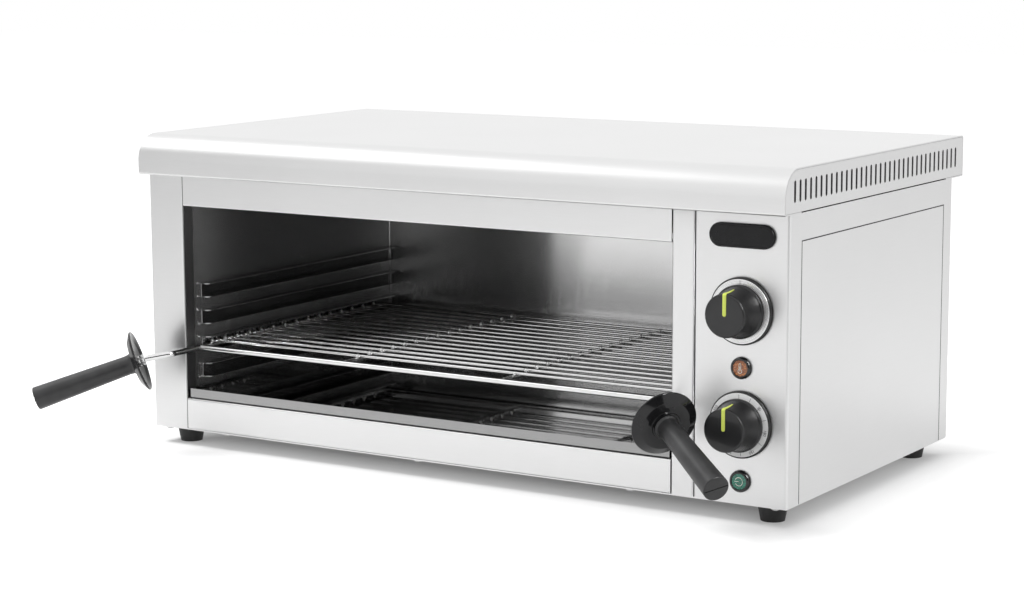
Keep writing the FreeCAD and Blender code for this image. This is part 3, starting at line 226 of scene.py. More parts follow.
def finished(mesh, crease, slot, *nodes, body="casing", look=None, name=None):
    # makes a mesh a piece, with its smoothing and the material of its slot or look, on its body, and hides
    # the CAD nodes it stands for
    if crease:
        smoothen(mesh, crease)
    mesh.materials.clear()
    mesh.materials.append(finish[look or slot])
    piece = newPiece(name or mesh.name, mesh)
    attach(piece, body)
    if nodes:
        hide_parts(*nodes)


# Node helpers

class Wiring:
    # a few words for building a node tree
    def __init__(self, tree):
        self.tree = tree

    def put(self, value, target):
        # a socket is linked, anything else becomes the target's own value
        if isinstance(value, bpy.types.NodeSocket):
            self.tree.links.new(value, target)
        else:
            target.default_value = value

    def add(self, kind, *values, **settings):
        # values fill the first inputs; settings are the node's options, and inputs by name
        node = self.tree.nodes.new(kind)
        for key in [key for key in settings if hasattr(node, key)]:
            setattr(node, key, settings.pop(key))
        for target, value in zip(node.inputs, values):
            self.put(value, target)
        for key, value in settings.items():
            self.put(value, node.inputs[key.replace("_", " ")])
        return node

    def maths(self, operation, *values):
        return self.add("ShaderNodeMath", *values, operation=operation).outputs[0]


def copyTree(name, copies, **sockets):
    # Geometry Nodes: copies gets the wiring and the group's inputs, and returns the instances
    tree = bpy.data.node_groups.new(name, "GeometryNodeTree")
    for label, kind in {"Geometry": "Geometry", **sockets, "Material": "Material"}.items():
        socket = tree.interface.new_socket(label, in_out="INPUT", socket_type="NodeSocket" + kind)
        if kind == "Int":
            socket.default_value = 1
    tree.interface.new_socket("Geometry", in_out="OUTPUT", socket_type="NodeSocketGeometry")
    wiring = Wiring(tree)
    given = wiring.add("NodeGroupInput").outputs
    real = wiring.add("GeometryNodeRealizeInstances", copies(wiring, given)).outputs[0]
    painted = wiring.add("GeometryNodeSetMaterial", Geometry=real, Material=given["Material"])
    wiring.add("NodeGroupOutput", painted.outputs[0])
    return tree


def gridCopies(wiring, given):
    last = given["Geometry"]
    for count, step in (("columns", "columnStep"), ("rows", "rowStep")):
        line = wiring.add("GeometryNodeMeshLine", mode="OFFSET", Count=given[count], Offset=given[step])
        last = wiring.add("GeometryNodeInstanceOnPoints", Points=line.outputs[0], Instance=last).outputs[0]
    return last


def ringCopies(wiring, given):
    # points at one spot, each turned one step further about the axis
    line = wiring.add("GeometryNodeMeshLine", Count=given["count"], Offset=(0, 0, 0))
    index = wiring.add("GeometryNodeInputIndex").outputs[0]
    turn = wiring.add("ShaderNodeVectorMath", given["axisTurn"], operation="SCALE", Scale=index)
    return wiring.add("GeometryNodeInstanceOnPoints", Points=line.outputs[0], Instance=given["Geometry"],
                      Rotation=turn.outputs[0]).outputs[0]


gridTree = copyTree("copiesInGrid", gridCopies, columns="Int", columnStep="Vector", rows="Int",
                    rowStep="Vector")
ringTree = copyTree("copiesInRing", ringCopies, count="Int", axisTurn="Vector")


def repeated(mesh, tree, material, **values):
    # values go in by socket name; the modifier wants the socket's identifier
    values["Material"] = material
    inputs = {item.identifier: values[item.name] for item in tree.interface.items_tree
              if item.in_out == "INPUT" and item.name in values}
    return applied(mesh, "NODES", node_group=tree, **inputs)


def colour(tone):
    # what a colour socket takes, from a grey level or three numbers
    return (tone, tone, tone, 1) if isinstance(tone, (int, float)) else (*tone, 1)


class Recipe(Wiring):
    # a material and its shader
    def __init__(self, name):
        self.material = bpy.data.materials.new(name)
        self.material.use_nodes = True
        super().__init__(self.material.node_tree)
        self.shader = self.tree.nodes["Principled BSDF"]

    def set(self, **values):
        for key, value in values.items():
            self.put(value, self.shader.inputs[key.replace("_", " ")])
        return self.material

    def glow(self, tone):
        # nothing but light of its own
        return self.set(Base_Color=colour(0), Roughness=1.0, Specular_IOR_Level=0.0, Emission_Color=tone,
                        Emission_Strength=1.0)

    def coords(self, scale=(1, 1, 1), offset=(0, 0, 0)):
        place = self.add("ShaderNodeTexCoord").outputs["Object"]
        return self.add("ShaderNodeMapping", Vector=place, Scale=scale, Location=offset).outputs["Vector"]

    def noise(self, size, detail=2.0, roughness=0.55, scale=(1, 1, 1)):
        return self.add("ShaderNodeTexNoise", Vector=self.coords(scale), Scale=size, Detail=detail,
                        Roughness=roughness).outputs["Fac"]

    def spread(self, source, low, high, fromLow=0.3, fromHigh=0.7):
        return self.add("ShaderNodeMapRange", source, fromLow, fromHigh, low, high).outputs["Result"]

    def blend(self, share, low, high, kind="RGBA"):
        # between two values or sockets
        node = self.add("ShaderNodeMix", share, data_type=kind)
        first, result = (6, 2) if kind == "RGBA" else (2, 0)
        self.put(low, node.inputs[first])
        self.put(high, node.inputs[first + 1])
        return node.outputs[result]

    def tint(self, share, low, high):
        return self.blend(share, colour(low), colour(high))

    def mottle(self, cloud, low, high):
        return self.tint(self.spread(cloud, 0, 1), low, high)

    def ramp(self, source, left, right, stops):
        # each stop is a place between left and right, and the value there
        node = self.add("ShaderNodeValToRGB", self.spread(source, 0, 1, left, right))
        parts = node.color_ramp.elements
        for i, (where, value) in enumerate(stops):
            share = (where - left) / (right - left)
            part = parts[i] if i < 2 else parts.new(share)
            part.position = share
            part.color = colour(value)
        return node.outputs["Color"]

    def bump(self, height, distance, strength=0.5):
        node = self.add("ShaderNodeBump", Height=height, Distance=distance, Strength=strength)
        return node.outputs["Normal"]


alongX = (0.02, 1, 1)
level = (0.02, 0.02, 1)  # lines at one height, on fronts and sides alike


def steel(name, shade, roughness, grain=level, spread=0.02, lineDepth=0.0000012, stretch=0.0, frontFace=None,
          way=("Y", -1)):
    # rolled stainless: fine lines along the grain and broad soft patches
    # stretch draws reflections out upright; frontFace is shade and roughness where it looks that way; below
    # it paints shade on faces that turn one way, and light on the cavity's back wall
    recipe = Recipe(name)
    lines = recipe.noise(2400, roughness=0.6, scale=grain)
    patches = recipe.noise(1.6, scale=(5, 5, 5))
    mixed = recipe.maths("MULTIPLY_ADD", lines, 0.45, recipe.maths("MULTIPLY", patches, 0.55))
    wear = 0.012  # how far the shade wanders
    tone = recipe.tint(recipe.spread(mixed, 0, 1, 0.35, 0.65), shade - wear, shade + wear)
    rough = recipe.spread(mixed, roughness - spread, roughness + spread, 0.35, 0.65)
    if frontFace:
        normal = recipe.add("ShaderNodeNewGeometry").outputs["True Normal"]
        facing = recipe.add("ShaderNodeSeparateXYZ", normal).outputs[way[0]]
        forward = recipe.maths("GREATER_THAN", recipe.maths("MULTIPLY", facing, way[1]), 0.5)
        tone = recipe.blend(forward, tone, colour(frontFace[0]))
        rough = recipe.blend(forward, rough, frontFace[1], "FLOAT")
    return recipe.set(Base_Color=tone, Roughness=rough, Normal=recipe.bump(lines, lineDepth), Metallic=1.0,
                      Anisotropic=stretch, Anisotropic_Rotation=0.25)


def moulded(name, tone, roughness, grainSize=2600, depth=0.00001, coat=0.0, gloss=0.5):
    # moulded plastic or rubber: a fine spark-eroded grain and a slight unevenness
    recipe = Recipe(name)
    grain, cloud = recipe.noise(grainSize), recipe.noise(60)
    low, high = ([part * share for part in colour(tone)[:3]] for share in (0.75, 1.25))
    return recipe.set(Base_Color=recipe.mottle(cloud, low, high),
                      Roughness=recipe.spread(grain, roughness - 0.05, roughness + 0.07),
                      Normal=recipe.bump(grain, depth), Coat_Weight=coat, Coat_Roughness=0.06,
                      Specular_IOR_Level=gloss)


def chrome(name, shade, roughness):
    recipe = Recipe(name)
    cloud = recipe.noise(90)
    return recipe.set(Base_Color=recipe.mottle(cloud, shade - 0.04, shade + 0.03),
                      Roughness=recipe.spread(cloud, roughness * 0.8, roughness * 1.3),
                      Normal=recipe.bump(cloud, 0.000004, 0.3), Metallic=1.0)


def sheath(name):
    # oxidised heating tube: straw and blue-grey heat tints in soft rings
    recipe = Recipe(name)
    cloud, fine = recipe.noise(25, detail=3, scale=(1, 3, 3)), recipe.noise(1500)
    return recipe.set(Base_Color=recipe.mottle(cloud, (0.16, 0.14, 0.12), (0.30, 0.27, 0.24)),
                      Roughness=recipe.spread(fine, 0.38, 0.55), Normal=recipe.bump(fine, 0.00001),
                      Metallic=0.85)


def turnedFace(name, shade, centre, grooveStep, depth):
    # a lathe-turned disc: fine circular grooves about its centre
    recipe = Recipe(name)
    place = recipe.coords(offset=-centre)
    flat = recipe.add("ShaderNodeVectorMath", place, (1, 0, 1), operation="MULTIPLY").outputs["Vector"]
    radius = recipe.add("ShaderNodeVectorMath", flat, operation="LENGTH").outputs["Value"]
    wave = recipe.maths("SINE", recipe.maths("MULTIPLY", radius, 2 * pi / grooveStep))
    grooves = recipe.spread(wave, 0, 1, -1, 1)
    return recipe.set(Base_Color=recipe.tint(grooves, shade - 0.04, shade + 0.03),
                      Roughness=recipe.spread(grooves, 0.26, 0.34, 0, 1), Normal=recipe.bump(grooves, depth),
                      Metallic=0.75)


def printed(name, tone, roughness=0.4):
    recipe = Recipe(name)
    cloud = recipe.noise(900)
    low = [part * 0.94 for part in colour(tone)[:3]]
    return recipe.set(Base_Color=recipe.mottle(cloud, low, tone),
                      Roughness=recipe.spread(cloud, roughness - 0.05, roughness + 0.05))


def lensGlass(name, dark, bright):
    # a tinted lens with a pressed dot pattern behind a clear skin
    recipe = Recipe(name)
    cells = recipe.add("ShaderNodeTexVoronoi", Vector=recipe.coords(), Scale=1100)
    spots = recipe.spread(cells.outputs["Distance"], 1, 0, 0.1, 0.6)
    tone = recipe.tint(spots, dark, bright)
    return recipe.set(Base_Color=tone, Emission_Color=tone, Emission_Strength=0.35,
                      Normal=recipe.bump(spots, 0.00008), Roughness=0.18, Coat_Weight=0.8,
                      Coat_Roughness=0.04, IOR=1.5)


faint = 0.0000004  # depth of lines that hardly break a reflection

finish = {
    "lid_steel": steel("lidSteel", 0.80, 0.36, alongX),
    "case_steel": steel("caseSteel", 0.82, 0.34),
    "panel_steel": steel("panelSteel", 0.81, 0.36),
    "cavity_steel": steel("cavitySteel", 0.58, 0.22, spread=0.01, lineDepth=faint, stretch=1.0),
    # painted shade: where the tray looks forward, on its lip, it is rougher and painted darker than its floor
    "tray_steel": steel("traySteel", 0.52, 0.03, alongX, spread=0.006, lineDepth=0.0000002,
                        frontFace=(0.36, 0.26)),
    "element_sheath": sheath("elementSheath"),
    "screw_steel": chrome("screwSteel", 0.72, 0.22),
    "ceramic": printed("ceramicWhite", (0.80, 0.78, 0.72), 0.35),
    "rack_chrome": chrome("rackChrome", 0.82, 0.12),
    "handle_plastic": moulded("handlePlastic", (0.030, 0.030, 0.031), 0.36, depth=0.000004),
    "dial_rim": moulded("dialRim", 0.012, 0.28, coat=0.2),
    "dial_metal": printed("dialMetal", 0.8),
    "dial_scale": printed("dialScale", 0.86, 0.35),
    "knob_plastic": moulded("knobPlastic", (0.018, 0.018, 0.019), 0.27, grainSize=3500, depth=0.000002,
                            coat=0.3, gloss=0.35),
    "pointer": printed("pointerLime", (0.72, 0.82, 0.14), 0.35),
    "lamp_body": moulded("lampBody", 0.010, 0.14, depth=0.000002, coat=0.4),
    "plate_black": moulded("plateBlack", (0.008, 0.008, 0.009), 0.22, depth=0.000001, gloss=0.3),
    "rubber": moulded("footRubber", 0.016, 0.55, grainSize=1800, depth=0.00003),
    "gear_case": moulded("gearCase", (0.30, 0.31, 0.33), 0.45),
    "gland_plastic": moulded("glandPlastic", (0.02, 0.02, 0.021), 0.40),
    "block_plastic": moulded("blockPlastic", (0.75, 0.74, 0.70), 0.38),
    "probe_metal": chrome("probeCopper", 0.70, 0.2),
    "lead_cover": moulded("leadCover", (0.55, 0.53, 0.50), 0.5),
}

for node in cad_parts.values():
    slot = node.data.materials[0].name
    if slot in finish:
        node.material_slots[0].material = finish[slot]

# sheets that show in a way of their own
sheets = {
    # also the cavity's back wall, whose face into the cavity is smoother and painted lighter than the side
    # walls: painted light
    "rear_panel": steel("rearSteel", 0.78, 0.34, lineDepth=faint, stretch=1.0, frontFace=(0.95, 0.17)),
    # its edge is the post beside the controls
    "right_cavity_liner": steel("postSteel", 0.58, 0.22, spread=0.01, lineDepth=faint, stretch=1.0,
                                frontFace=(0.86, 0.34)),
    # turns into the cavity; the faces that look into it are painted dark: painted shade
    "left_casing": steel("leftShadeSteel", 0.82, 0.34, frontFace=(0.30, 0.30), way=("X", 1)),
    # seen only through the vents, and painted near black there: the painted shade behind them
    "body_top_sheet": steel("ventShadeSteel", 0.12, 0.40),
}
for name, material in sheets.items():
    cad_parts[name].material_slots[0].material = material
print("materials made")


# Control knobs: a waisted cap with a skirt, and a pointer let into its face and flank

knob = {
    "baseRadius": 20.0 * mm,
    "skirtHigh": 3.0 * mm,
    "waistRadius": 19.0 * mm,
    "faceRadius": 16.3 * mm,
    "high": 24.0 * mm,
    "faceRound": 1.5 * mm,
    "hollow": 2.8,  # how strongly the flank flares at its foot
    "boreRadius": 3.1 * mm,
    "roof": 6.0 * mm,  # thickness over the bore
    "pointerWide": 2.9 * mm,
    "pointerThick": 0.35 * mm,
    "pointerStart": -0.4 * mm,  # from the face's centre
    "pointerBack": 15.0 * mm,  # how far it runs back along the flank
}


def knobFlank(height):
    # radius of the flank at a height above the knob's base
    share = 1 - (height - knob["skirtHigh"]) / (knob["high"] - knob["skirtHigh"])
    return knob["faceRadius"] + (knob["waistRadius"] - knob["faceRadius"]) * max(0, share) ** knob["hollow"]


def knobPath():
    top, skirt, base = knob["high"], knob["skirtHigh"], knob["baseRadius"]
    path = roundedPath([
        (base - 1.2 * mm, 0), (base, 0, 0.3 * mm), (base, skirt, 0.9 * mm),
        (knob["waistRadius"] + 0.3 * mm, skirt + 0.1 * mm),
    ])
    face, corner = knob["faceRadius"], knob["faceRound"]
    path += [(knobFlank(height), height) for height in sweep(skirt + 0.35 * mm, top - corner, 18)[:-1]]
    path += roundedPath([(face, top - corner - 0.1 * mm), (face, top, corner), (face - 2.5 * mm, top)])
    bore, deep = knob["boreRadius"], top - knob["roof"]
    return [(0, deep), (bore, deep), (bore, 0)] + path + [(face * 0.5, top), (0, top)]


def pointerMesh(name):
    # an outline carried along the face and over its edge, raised a little all the way
    half, lift = knob["pointerWide"] / 2, knob["pointerThick"]
    face, top, corner = knob["faceRadius"], knob["high"], knob["faceRound"]
    spine = []  # distance out, height, the way up from the surface, half width
    for a in sweep(0, pi / 2, 5):
        wide = half * max(0.15, sin(a))
        spine.append((knob["pointerStart"] + half * (1 - cos(a)), top, 0, 1, wide))
    for a in sweep(0, pi / 2, 6):
        spine.append((face - corner + corner * sin(a), top - corner + corner * cos(a),
                      sin(a), cos(a), half))
    steps, taper, narrow = 14, 3, 0.7  # the flank's part, where it begins to taper, and by how much
    for i in range(1, steps + 1):
        height = top - corner - (knob["pointerBack"] - corner) * i / steps
        wide = half * (1 - narrow * max(0, i - taper) / (steps - taper))
        spine.append((knobFlank(height), height, 1, 0, wide))
    section = ((-1, -0.6), (-1, 0.75), (-0.72, 1), (0.72, 1), (1, 0.75), (1, -0.6))
    rings = []
    for i, (out, high, nx, nz, wide) in enumerate(spine):
        rise = lift * (0.55 if i in (0, len(spine) - 1) else 1)
        rings.append([(x * wide, out + nx * rise * up, high + nz * rise * up) for x, up in section])
    return skinned(name, rings)


for side in ("upper", "lower"):
    seat = frontSeat(*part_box("knob_" + side))
    cap = moved(lathe("knobCap_" + side, knobPath(), 128), seat)
    finished(cap, 30, "knob_plastic", "knob_" + side, body=side + "_knob")
    mark = moved(pointerMesh("knobMark_" + side), seat)
    finished(mark, 50, "pointer", "knob_pointer_" + side, body=side + "_knob")
print("knobs made")


# Dials: a black rim ring, a face plate, ticks and plain numbers

dial = {
    "hole": 6.0 * mm,  # radius, round the spindle
    "rimRound": 0.9 * mm,
    "rimWide": 1.6 * mm,
    "rimShow": 0.3 * mm,  # more of the black rim than the flat plate leaves
    "steps": (1.1 * mm, 2.7 * mm),  # shallow rings turned into the upper plate, from its edge
    "stepWide": 0.45 * mm,
    "stepDeep": 0.25 * mm,
    "stepSlope": 0.15 * mm,
    "grooveStep": 0.9 * mm,
    "grooveDeep": 0.02 * mm,
    "ticks": {"upper": 1, "lower": 12},
    "tickStep": 25,  # degrees
    "tickLong": 3.4 * mm,
    "tickWide": 0.30 * mm,
    "tickThick": 0.06 * mm,
    "tickInset": 0.8 * mm,  # from the plate's edge
    "numberSize": 3.22 * mm,
    "numberRadius": 21.8 * mm,
    "numberThick": 0.03 * mm,  # to either side of its middle
    "numberLift": 0.04 * mm,
    "numbers": (50, 100, 150, 200, 250, 300),  # each stands at its own angle, clockwise from the top
}
finish["scale_ink"] = printed("scaleInk", (0.20, 0.20, 0.21), 0.5)


def numberMesh(number):
    text = bpy.data.curves.new("number", "FONT")
    text.body = str(number)
    text.size, text.extrude = dial["numberSize"], dial["numberThick"]
    text.align_x = text.align_y = "CENTER"
    holder = bpy.data.objects.new("number", text)
    mesh = bpy.data.meshes.new_from_object(holder)
    bpy.data.objects.remove(holder)
    out = Matrix.Translation(Vector((0, dial["numberRadius"], dial["numberLift"])))
    return moved(mesh, Matrix.Rotation(-radians(number), 4, "Z") @ out)


for side in ("upper", "lower"):
    low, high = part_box("dial_bezel_" + side)
    centre = Vector(((low.x + high.x) / 2, high.y, (low.z + high.z) / 2))
    radius, thick, hole = (high.x - low.x) / 2, high.y - low.y, dial["hole"]
    rim = lathe("dialRim_" + side, roundedPath([
        (hole, 0), (radius, 0, 0.2 * mm), (radius, thick, dial["rimRound"]),
        (radius - dial["rimWide"], thick), (hole, thick),
    ], 6), 128)
    finished(moved(rim, seatAt(*centre)), 40, "dial_rim", "dial_bezel_" + side)

    low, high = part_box("dial_face_" + side)
    radius, thick = (high.x - low.x) / 2 - dial["rimShow"], high.y - low.y
    section, slot = [(hole, 0), (radius, 0), (radius, thick, 0.2 * mm)], "dial_scale"
    if side == "upper":
        slot = "dial_metal"
        finish[slot] = turnedFace("dialMetal", 0.94, centre, dial["grooveStep"], dial["grooveDeep"])
        for inset in dial["steps"]:
            edge, deep, slope = radius - inset, thick - dial["stepDeep"], dial["stepSlope"]
            section += [(edge, thick), (edge - slope, deep), (edge - dial["stepWide"], deep),
                        (edge - dial["stepWide"] - slope, thick)]
    plate = lathe("dialPlate_" + side, roundedPath(section + [(hole, thick)], 3), 128)
    finished(moved(plate, seatAt(centre.x, high.y, centre.z)), 25, slot, "dial_face_" + side)

    # ticks and numbers stand on the plate
    face = seatAt(centre.x, low.y, centre.z)
    half, outer = dial["tickWide"] / 2, radius - dial["tickInset"]
    inner = outer - dial["tickLong"]
    tick = prism("dialTicks_" + side, [(-half, inner), (half, inner), (half, outer), (-half, outer)],
                 0, dial["tickThick"])
    ticks = repeated(tick, ringTree, finish["scale_ink"], count=dial["ticks"][side],
                     axisTurn=(0, 0, -radians(dial["tickStep"])))
    finished(moved(ticks, face), None, slot, look="scale_ink")
    for number in dial["numbers"] if side == "lower" else ():
        finished(moved(numberMesh(number), face), None, slot, look="scale_ink",
                 name="dialNumber_%d" % number)
print("dials made")


# Indicator lamps: a domed black bezel and a tinted lens with a pale raised sign

lamp = {
    "bezelRound": 1.9 * mm,
    "barrelRadius": 6.4 * mm,
    "lensGap": 0.1 * mm,
    "lensDome": 0.35 * mm,
    "lensEdge": 0.3 * mm,
    "signSink": 0.02 * mm,
    "stroke": 0.22 * mm,  # radius of a sign's lines
    "bulbRadius": 1.55 * mm,
    "bulbDrop": 2.1 * mm,
    "stemRadius": 0.75 * mm,
    "stemTop": 2.9 * mm,
    "columnTop": 1.4 * mm,
    "ringRadius": 3.1 * mm,
    "ringSpan": (-60, 240),  # degrees
    "hand": ((-3.4 * mm, 0), (-0.2 * mm, 0.1 * mm)),
}
finish["sign_ink"] = printed("signInk", (0.88, 0.88, 0.80), 0.4)
finish["lens_orange"] = lensGlass("lensOrange", (0.15, 0.040, 0.010), (0.58, 0.21, 0.045))
finish["lens_green"] = lensGlass("lensGreen", (0.004, 0.085, 0.055), (0.02, 0.26, 0.17))


def lampSigns(kind, lift):
    # outlines of the two pale signs, in the lens's own plane
    if kind == "heating":
        stem, bulb, drop = lamp["stemRadius"], lamp["bulbRadius"], lamp["bulbDrop"]
        reach = pi - asin(stem / bulb)
        glass = [(bulb * sin(a), -drop - bulb * cos(a)) for a in sweep(-reach, reach, 24)]
        glass += [(stem * cos(a), lamp["stemTop"] + stem * sin(a)) for a in sweep(0, pi, 10)]
        lines = ((glass, 1.0, True), (((0, -drop), (0, lamp["columnTop"])), 1.3, False))
    else:
        r, (start, end) = lamp["ringRadius"], lamp["ringSpan"]
        ring = [(r * sin(a), r * cos(a)) for a in sweep(radians(start), radians(end), 40)]
        lines = ((ring, 1.2, False), (lamp["hand"], 1.2, False))
    return [tubeMesh("sign", [(x, y, lift) for x, y in line], lamp["stroke"] * wide, 8, closed)
            for line, wide, closed in lines]


for kind, slot in (("heating", "lens_orange"), ("power", "lens_green")):
    low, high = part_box(kind + "_lamp_holder")
    lensLow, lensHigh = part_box(kind + "_lamp_lens")
    seat = frontSeat(low, high, frontY)
    radius, lensRadius = (high.x - low.x) / 2, (lensHigh.x - lensLow.x) / 2
    barrel, mouth = lamp["barrelRadius"], lensRadius + lamp["lensGap"]
    # heights over the front
    foot, top, well, lensTop = frontY - high.y, frontY - low.y, frontY - lensHigh.y, frontY - lensLow.y
    holder = lathe(kind + "LampBezel", roundedPath([
        (0, foot), (barrel, foot, 0.5 * mm), (barrel, 0), (radius, 0, 0.2 * mm),
        (radius, top, lamp["bezelRound"]), (mouth, top, 0.15 * mm), (mouth, well), (0, well),
    ], 7), 96)
    finished(moved(holder, seat), 40, "lamp_body", kind + "_lamp_holder")
    dome = lamp["lensDome"]
    section = [(0, well), (lensRadius, well), (lensRadius, lensTop - dome - lamp["lensEdge"])]
    section += [(lensRadius * cos(a), lensTop - dome + dome * sin(a))
                for a in sweep(0, pi / 2, 8)[1:-1]]
    glass = lathe(kind + "LampLens", section + [(0, lensTop)], 64)
    finished(moved(glass, seat), 50, slot, kind + "_lamp_lens")
    signs = joined(kind + "LampSign", lampSigns(kind, lensTop - lamp["signSink"]))
    finished(moved(signs, seat), 60, slot, look="sign_ink")
print("lamps made")


# Blank plate: a long oval with a soft edge and a shallow field

plate = {
    "edge": 1.0 * mm,
    "field": 1.6 * mm,  # border round the field
    "fieldDeep": 0.25 * mm,
}


def oval(long, high):
    r = high / 2
    end = [(long / 2 - r + r * cos(a), r * sin(a)) for a in sweep(-pi / 2, pi / 2, 24)]
    return end + [(-x, -y) for x, y in end]


def ovalPlate(name, long, tall, thick):
    edge, field, deep = plate["edge"], plate["field"], plate["fieldDeep"]
    layers = [(0, 0)] + [(edge * (1 - cos(a)), thick + edge * (sin(a) - 1))
                         for a in sweep(0, pi / 2, 6)]
    layers += [(field, thick), (field + deep, thick - deep)]
    return skinned(name, [[(x, y, height) for x, y in oval(long - 2 * inset, tall - 2 * inset)]
                          for inset, height in layers])


low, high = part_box("blank_plate")
badge = ovalPlate("plainPlate", high.x - low.x, high.z - low.z, high.y - low.y)
finished(moved(badge, frontSeat(low, high)), 40, "plate_black", "blank_plate")
print("plate made")


# Lid: one sheet with a wide soft bend over the front

lid = {
    "sheet": 1.0 * mm,
    "frontRound": 22.0 * mm,
    "rearRound": 3.0 * mm,
    "hem": 2.0 * mm,
    "frontFoot": 27.5 * mm,  # how far the folds under the lid run in
    "rearFoot": 35.5 * mm,
}
low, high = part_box("lid_top")
front, back, under, over, sheet = low.y, high.y, low.z, high.z, lid["sheet"]
lidMesh = prism("lidSheet", roundedPath([
    (front + lid["frontFoot"], under + sheet), (front + lid["frontFoot"], under), (front, under, lid["hem"]),
    (front, over, lid["frontRound"]), (back, over, lid["rearRound"]), (back, under),
    (back - lid["rearFoot"], under), (back - lid["rearFoot"], under + sheet), (back - sheet, under + sheet),
    (back - sheet, over - sheet, lid["rearRound"] - sheet),
    (front + sheet, over - sheet, lid["frontRound"] - sheet), (front + sheet, under + sheet),
], 24), low.x, high.x)
finished(moved(lidMesh, lieAcross), 20, "lid_steel", "lid_top")
print("lid made")


# Rack rails: each a web on the wall and two shelves with a round nose, whose edges catch the light

rail = {
    "count": 4,
    "pitch": 22.9 * mm,
    "high": 12.2 * mm,
    "sheet": 1.0 * mm,
    "nose": 6.0 * mm,
    "edge": 0.34 * mm,  # radius of the rounded edge
    "rearGap": 4.0 * mm,  # from its end to the rear wall
    "seam": 0.5 * mm,  # radius of the folded seam that stands in each rear corner of the cavity
    "seamGap": 3.0 * mm,  # from its ends to the cavity's floor and roof
}
# painted shade: the channels are painted far darker than the cavity's steel, so that only their edges show
# light
finish["rail_shade_steel"] = steel("railShadeSteel", 0.20, 0.16)
finish["edge_steel"] = chrome("edgeSteel", 0.62, 0.16)


def railMeshes(wall, reach, front, back, base):
    # the channel, and the rounded edges of its shelves
    side = copysign(1, reach)
    edge, sheet = rail["edge"], side * rail["sheet"]
    tip, nose = wall + reach - side * edge, front + edge
    shelf = roundedPath([(wall, back), (wall, nose), (tip, nose, rail["nose"]), (tip, back)], 8)
    web = [(wall, back), (wall, nose + edge), (wall + sheet, nose + edge), (wall + sheet, back)]
    low, high = base + edge, base + rail["high"] - edge
    channel, edges = [prism("web", web, low, high)], []
    for height, start in ((low, base), (high, base + rail["high"] - rail["sheet"])):
        channel.append(prism("shelf", shelf, start, start + rail["sheet"]))
        edges.append(tubeMesh("edge", [(p.x, p.y, height) for p in shelf[1:]], edge, 8))
    corner = (wall + side * edge, nose)
    edges.append(tubeMesh("edge", [(*corner, low), (*corner, high)], edge, 8))
    return joined("channel", channel), joined("edges", edges)


linerLow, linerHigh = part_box("left_cavity_liner")
for side in ("left", "right"):
    low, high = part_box("rack_rails_" + side)
    wall, reach = (low.x, high.x - low.x) if side == "left" else (high.x, low.x - high.x)
    channel, edges = railMeshes(wall, reach, low.y, high.y, low.z)
    for name, mesh, look, nodes in (("rackRails_", channel, "rail_shade_steel", ["rack_rails_" + side]),
                                    ("railEdges_", edges, "edge_steel", [])):
        rails = repeated(mesh, gridTree, finish[look], rows=rail["count"], rowStep=(0.0, 0.0, rail["pitch"]))
        finished(rails, 30, "cavity_steel", *nodes, look=look, name=name + side)
    place = (wall + copysign(rail["seam"], reach), high.y + rail["rearGap"] - rail["seam"])
    ends = (linerLow.z + rail["seamGap"], linerHigh.z - rail["seamGap"])
    seam = tubeMesh("cornerSeam_" + side, [(*place, height) for height in ends], rail["seam"], 12)
    finished(seam, 50, "cavity_steel", look="edge_steel")
print("rails made")


# Access panel: a black strip sunk in the gap round it, painted shade that darkens the gap

gapShade = {
    "lip": 8.0 * mm,  # how far the cover's hidden lip runs on behind the opening's edge
    "wide": 0.9 * mm,
    "deep": 0.6 * mm,
    "proud": 0.05 * mm,
}
# painted shade: near-black rubber that makes the gap look dark
finish["gapShade"] = moulded("gapShadeRubber", 0.010, 0.6, depth=0.000002)
low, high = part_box("side_access_panel")
lip, wide, face = gapShade["lip"], gapShade["wide"], high.x + gapShade["proud"]
start, stop, top = low.y + lip, high.y - lip, high.z - lip
strips = []
for y0, y1, z0, z1 in (
    (start, start + wide, low.z, top), (stop - wide, stop, low.z, top),
    (start + wide, stop - wide, top - wide, top),
):
    strip = prism("strip", [(y0, z0), (y1, z0), (y1, z1), (y0, z1)], face - gapShade["deep"], face)
    strips.append(moved(strip, lieAcross))
finished(joined("accessGapShade", strips), None, "rubber", look="gapShade")
print("gasket made")


# Case screws: low pan heads with a cross recess, where the CAD screws stand

screw = {
    "headRadius": 3.8 * mm,
    "headHigh": 2.2 * mm,
    "shankRadius": 2.0 * mm,
    "crossWide": 0.9 * mm,
    "crossLong": 4.2 * mm,
    "crossDeep": 1.3 * mm,
}


def screwMesh(shankLong):
    s = screw
    mesh = lathe("screw", roundedPath([
        (0, -shankLong), (s["shankRadius"], -shankLong), (s["shankRadius"], 0),
        (s["headRadius"], 0, 0.3 * mm), (s["headRadius"], s["headHigh"] * 0.45, 0.5 * mm),
        (s["headRadius"] * 0.62, s["headHigh"], 1.6 * mm), (0, s["headHigh"]),
    ], 5), 40)
    wide, long = s["crossWide"] / 2, s["crossLong"] / 2
    for x, y in ((wide, long), (long, wide)):
        mesh = carved(mesh, prism("cross", [(-x, -y), (x, -y), (x, y), (-x, y)],
                                  s["headHigh"] - s["crossDeep"], s["headHigh"] + mm))
    return mesh


screws = []
for low, high in solidsOf("case_screws"):
    middle, head = (low + high) / 2, screw["headHigh"]
    if high.z - low.z > high.y - low.y:  # driven up into the body from below
        place = seatAt(middle.x, middle.y, low.z + head, Matrix.Rotation(pi, 4, "X"))
    else:  # driven in from the rear
        place = seatAt(middle.x, high.y - head, middle.z, Matrix.Rotation(-pi / 2, 4, "X"))
    screws.append(moved(screwMesh(max(high.z - low.z, high.y - low.y) - head), place))
finished(joined("caseScrews", screws), 35, "screw_steel", "case_screws")
print("screws made")


# Rack: wires with domed ends, and weld beads at every crossing

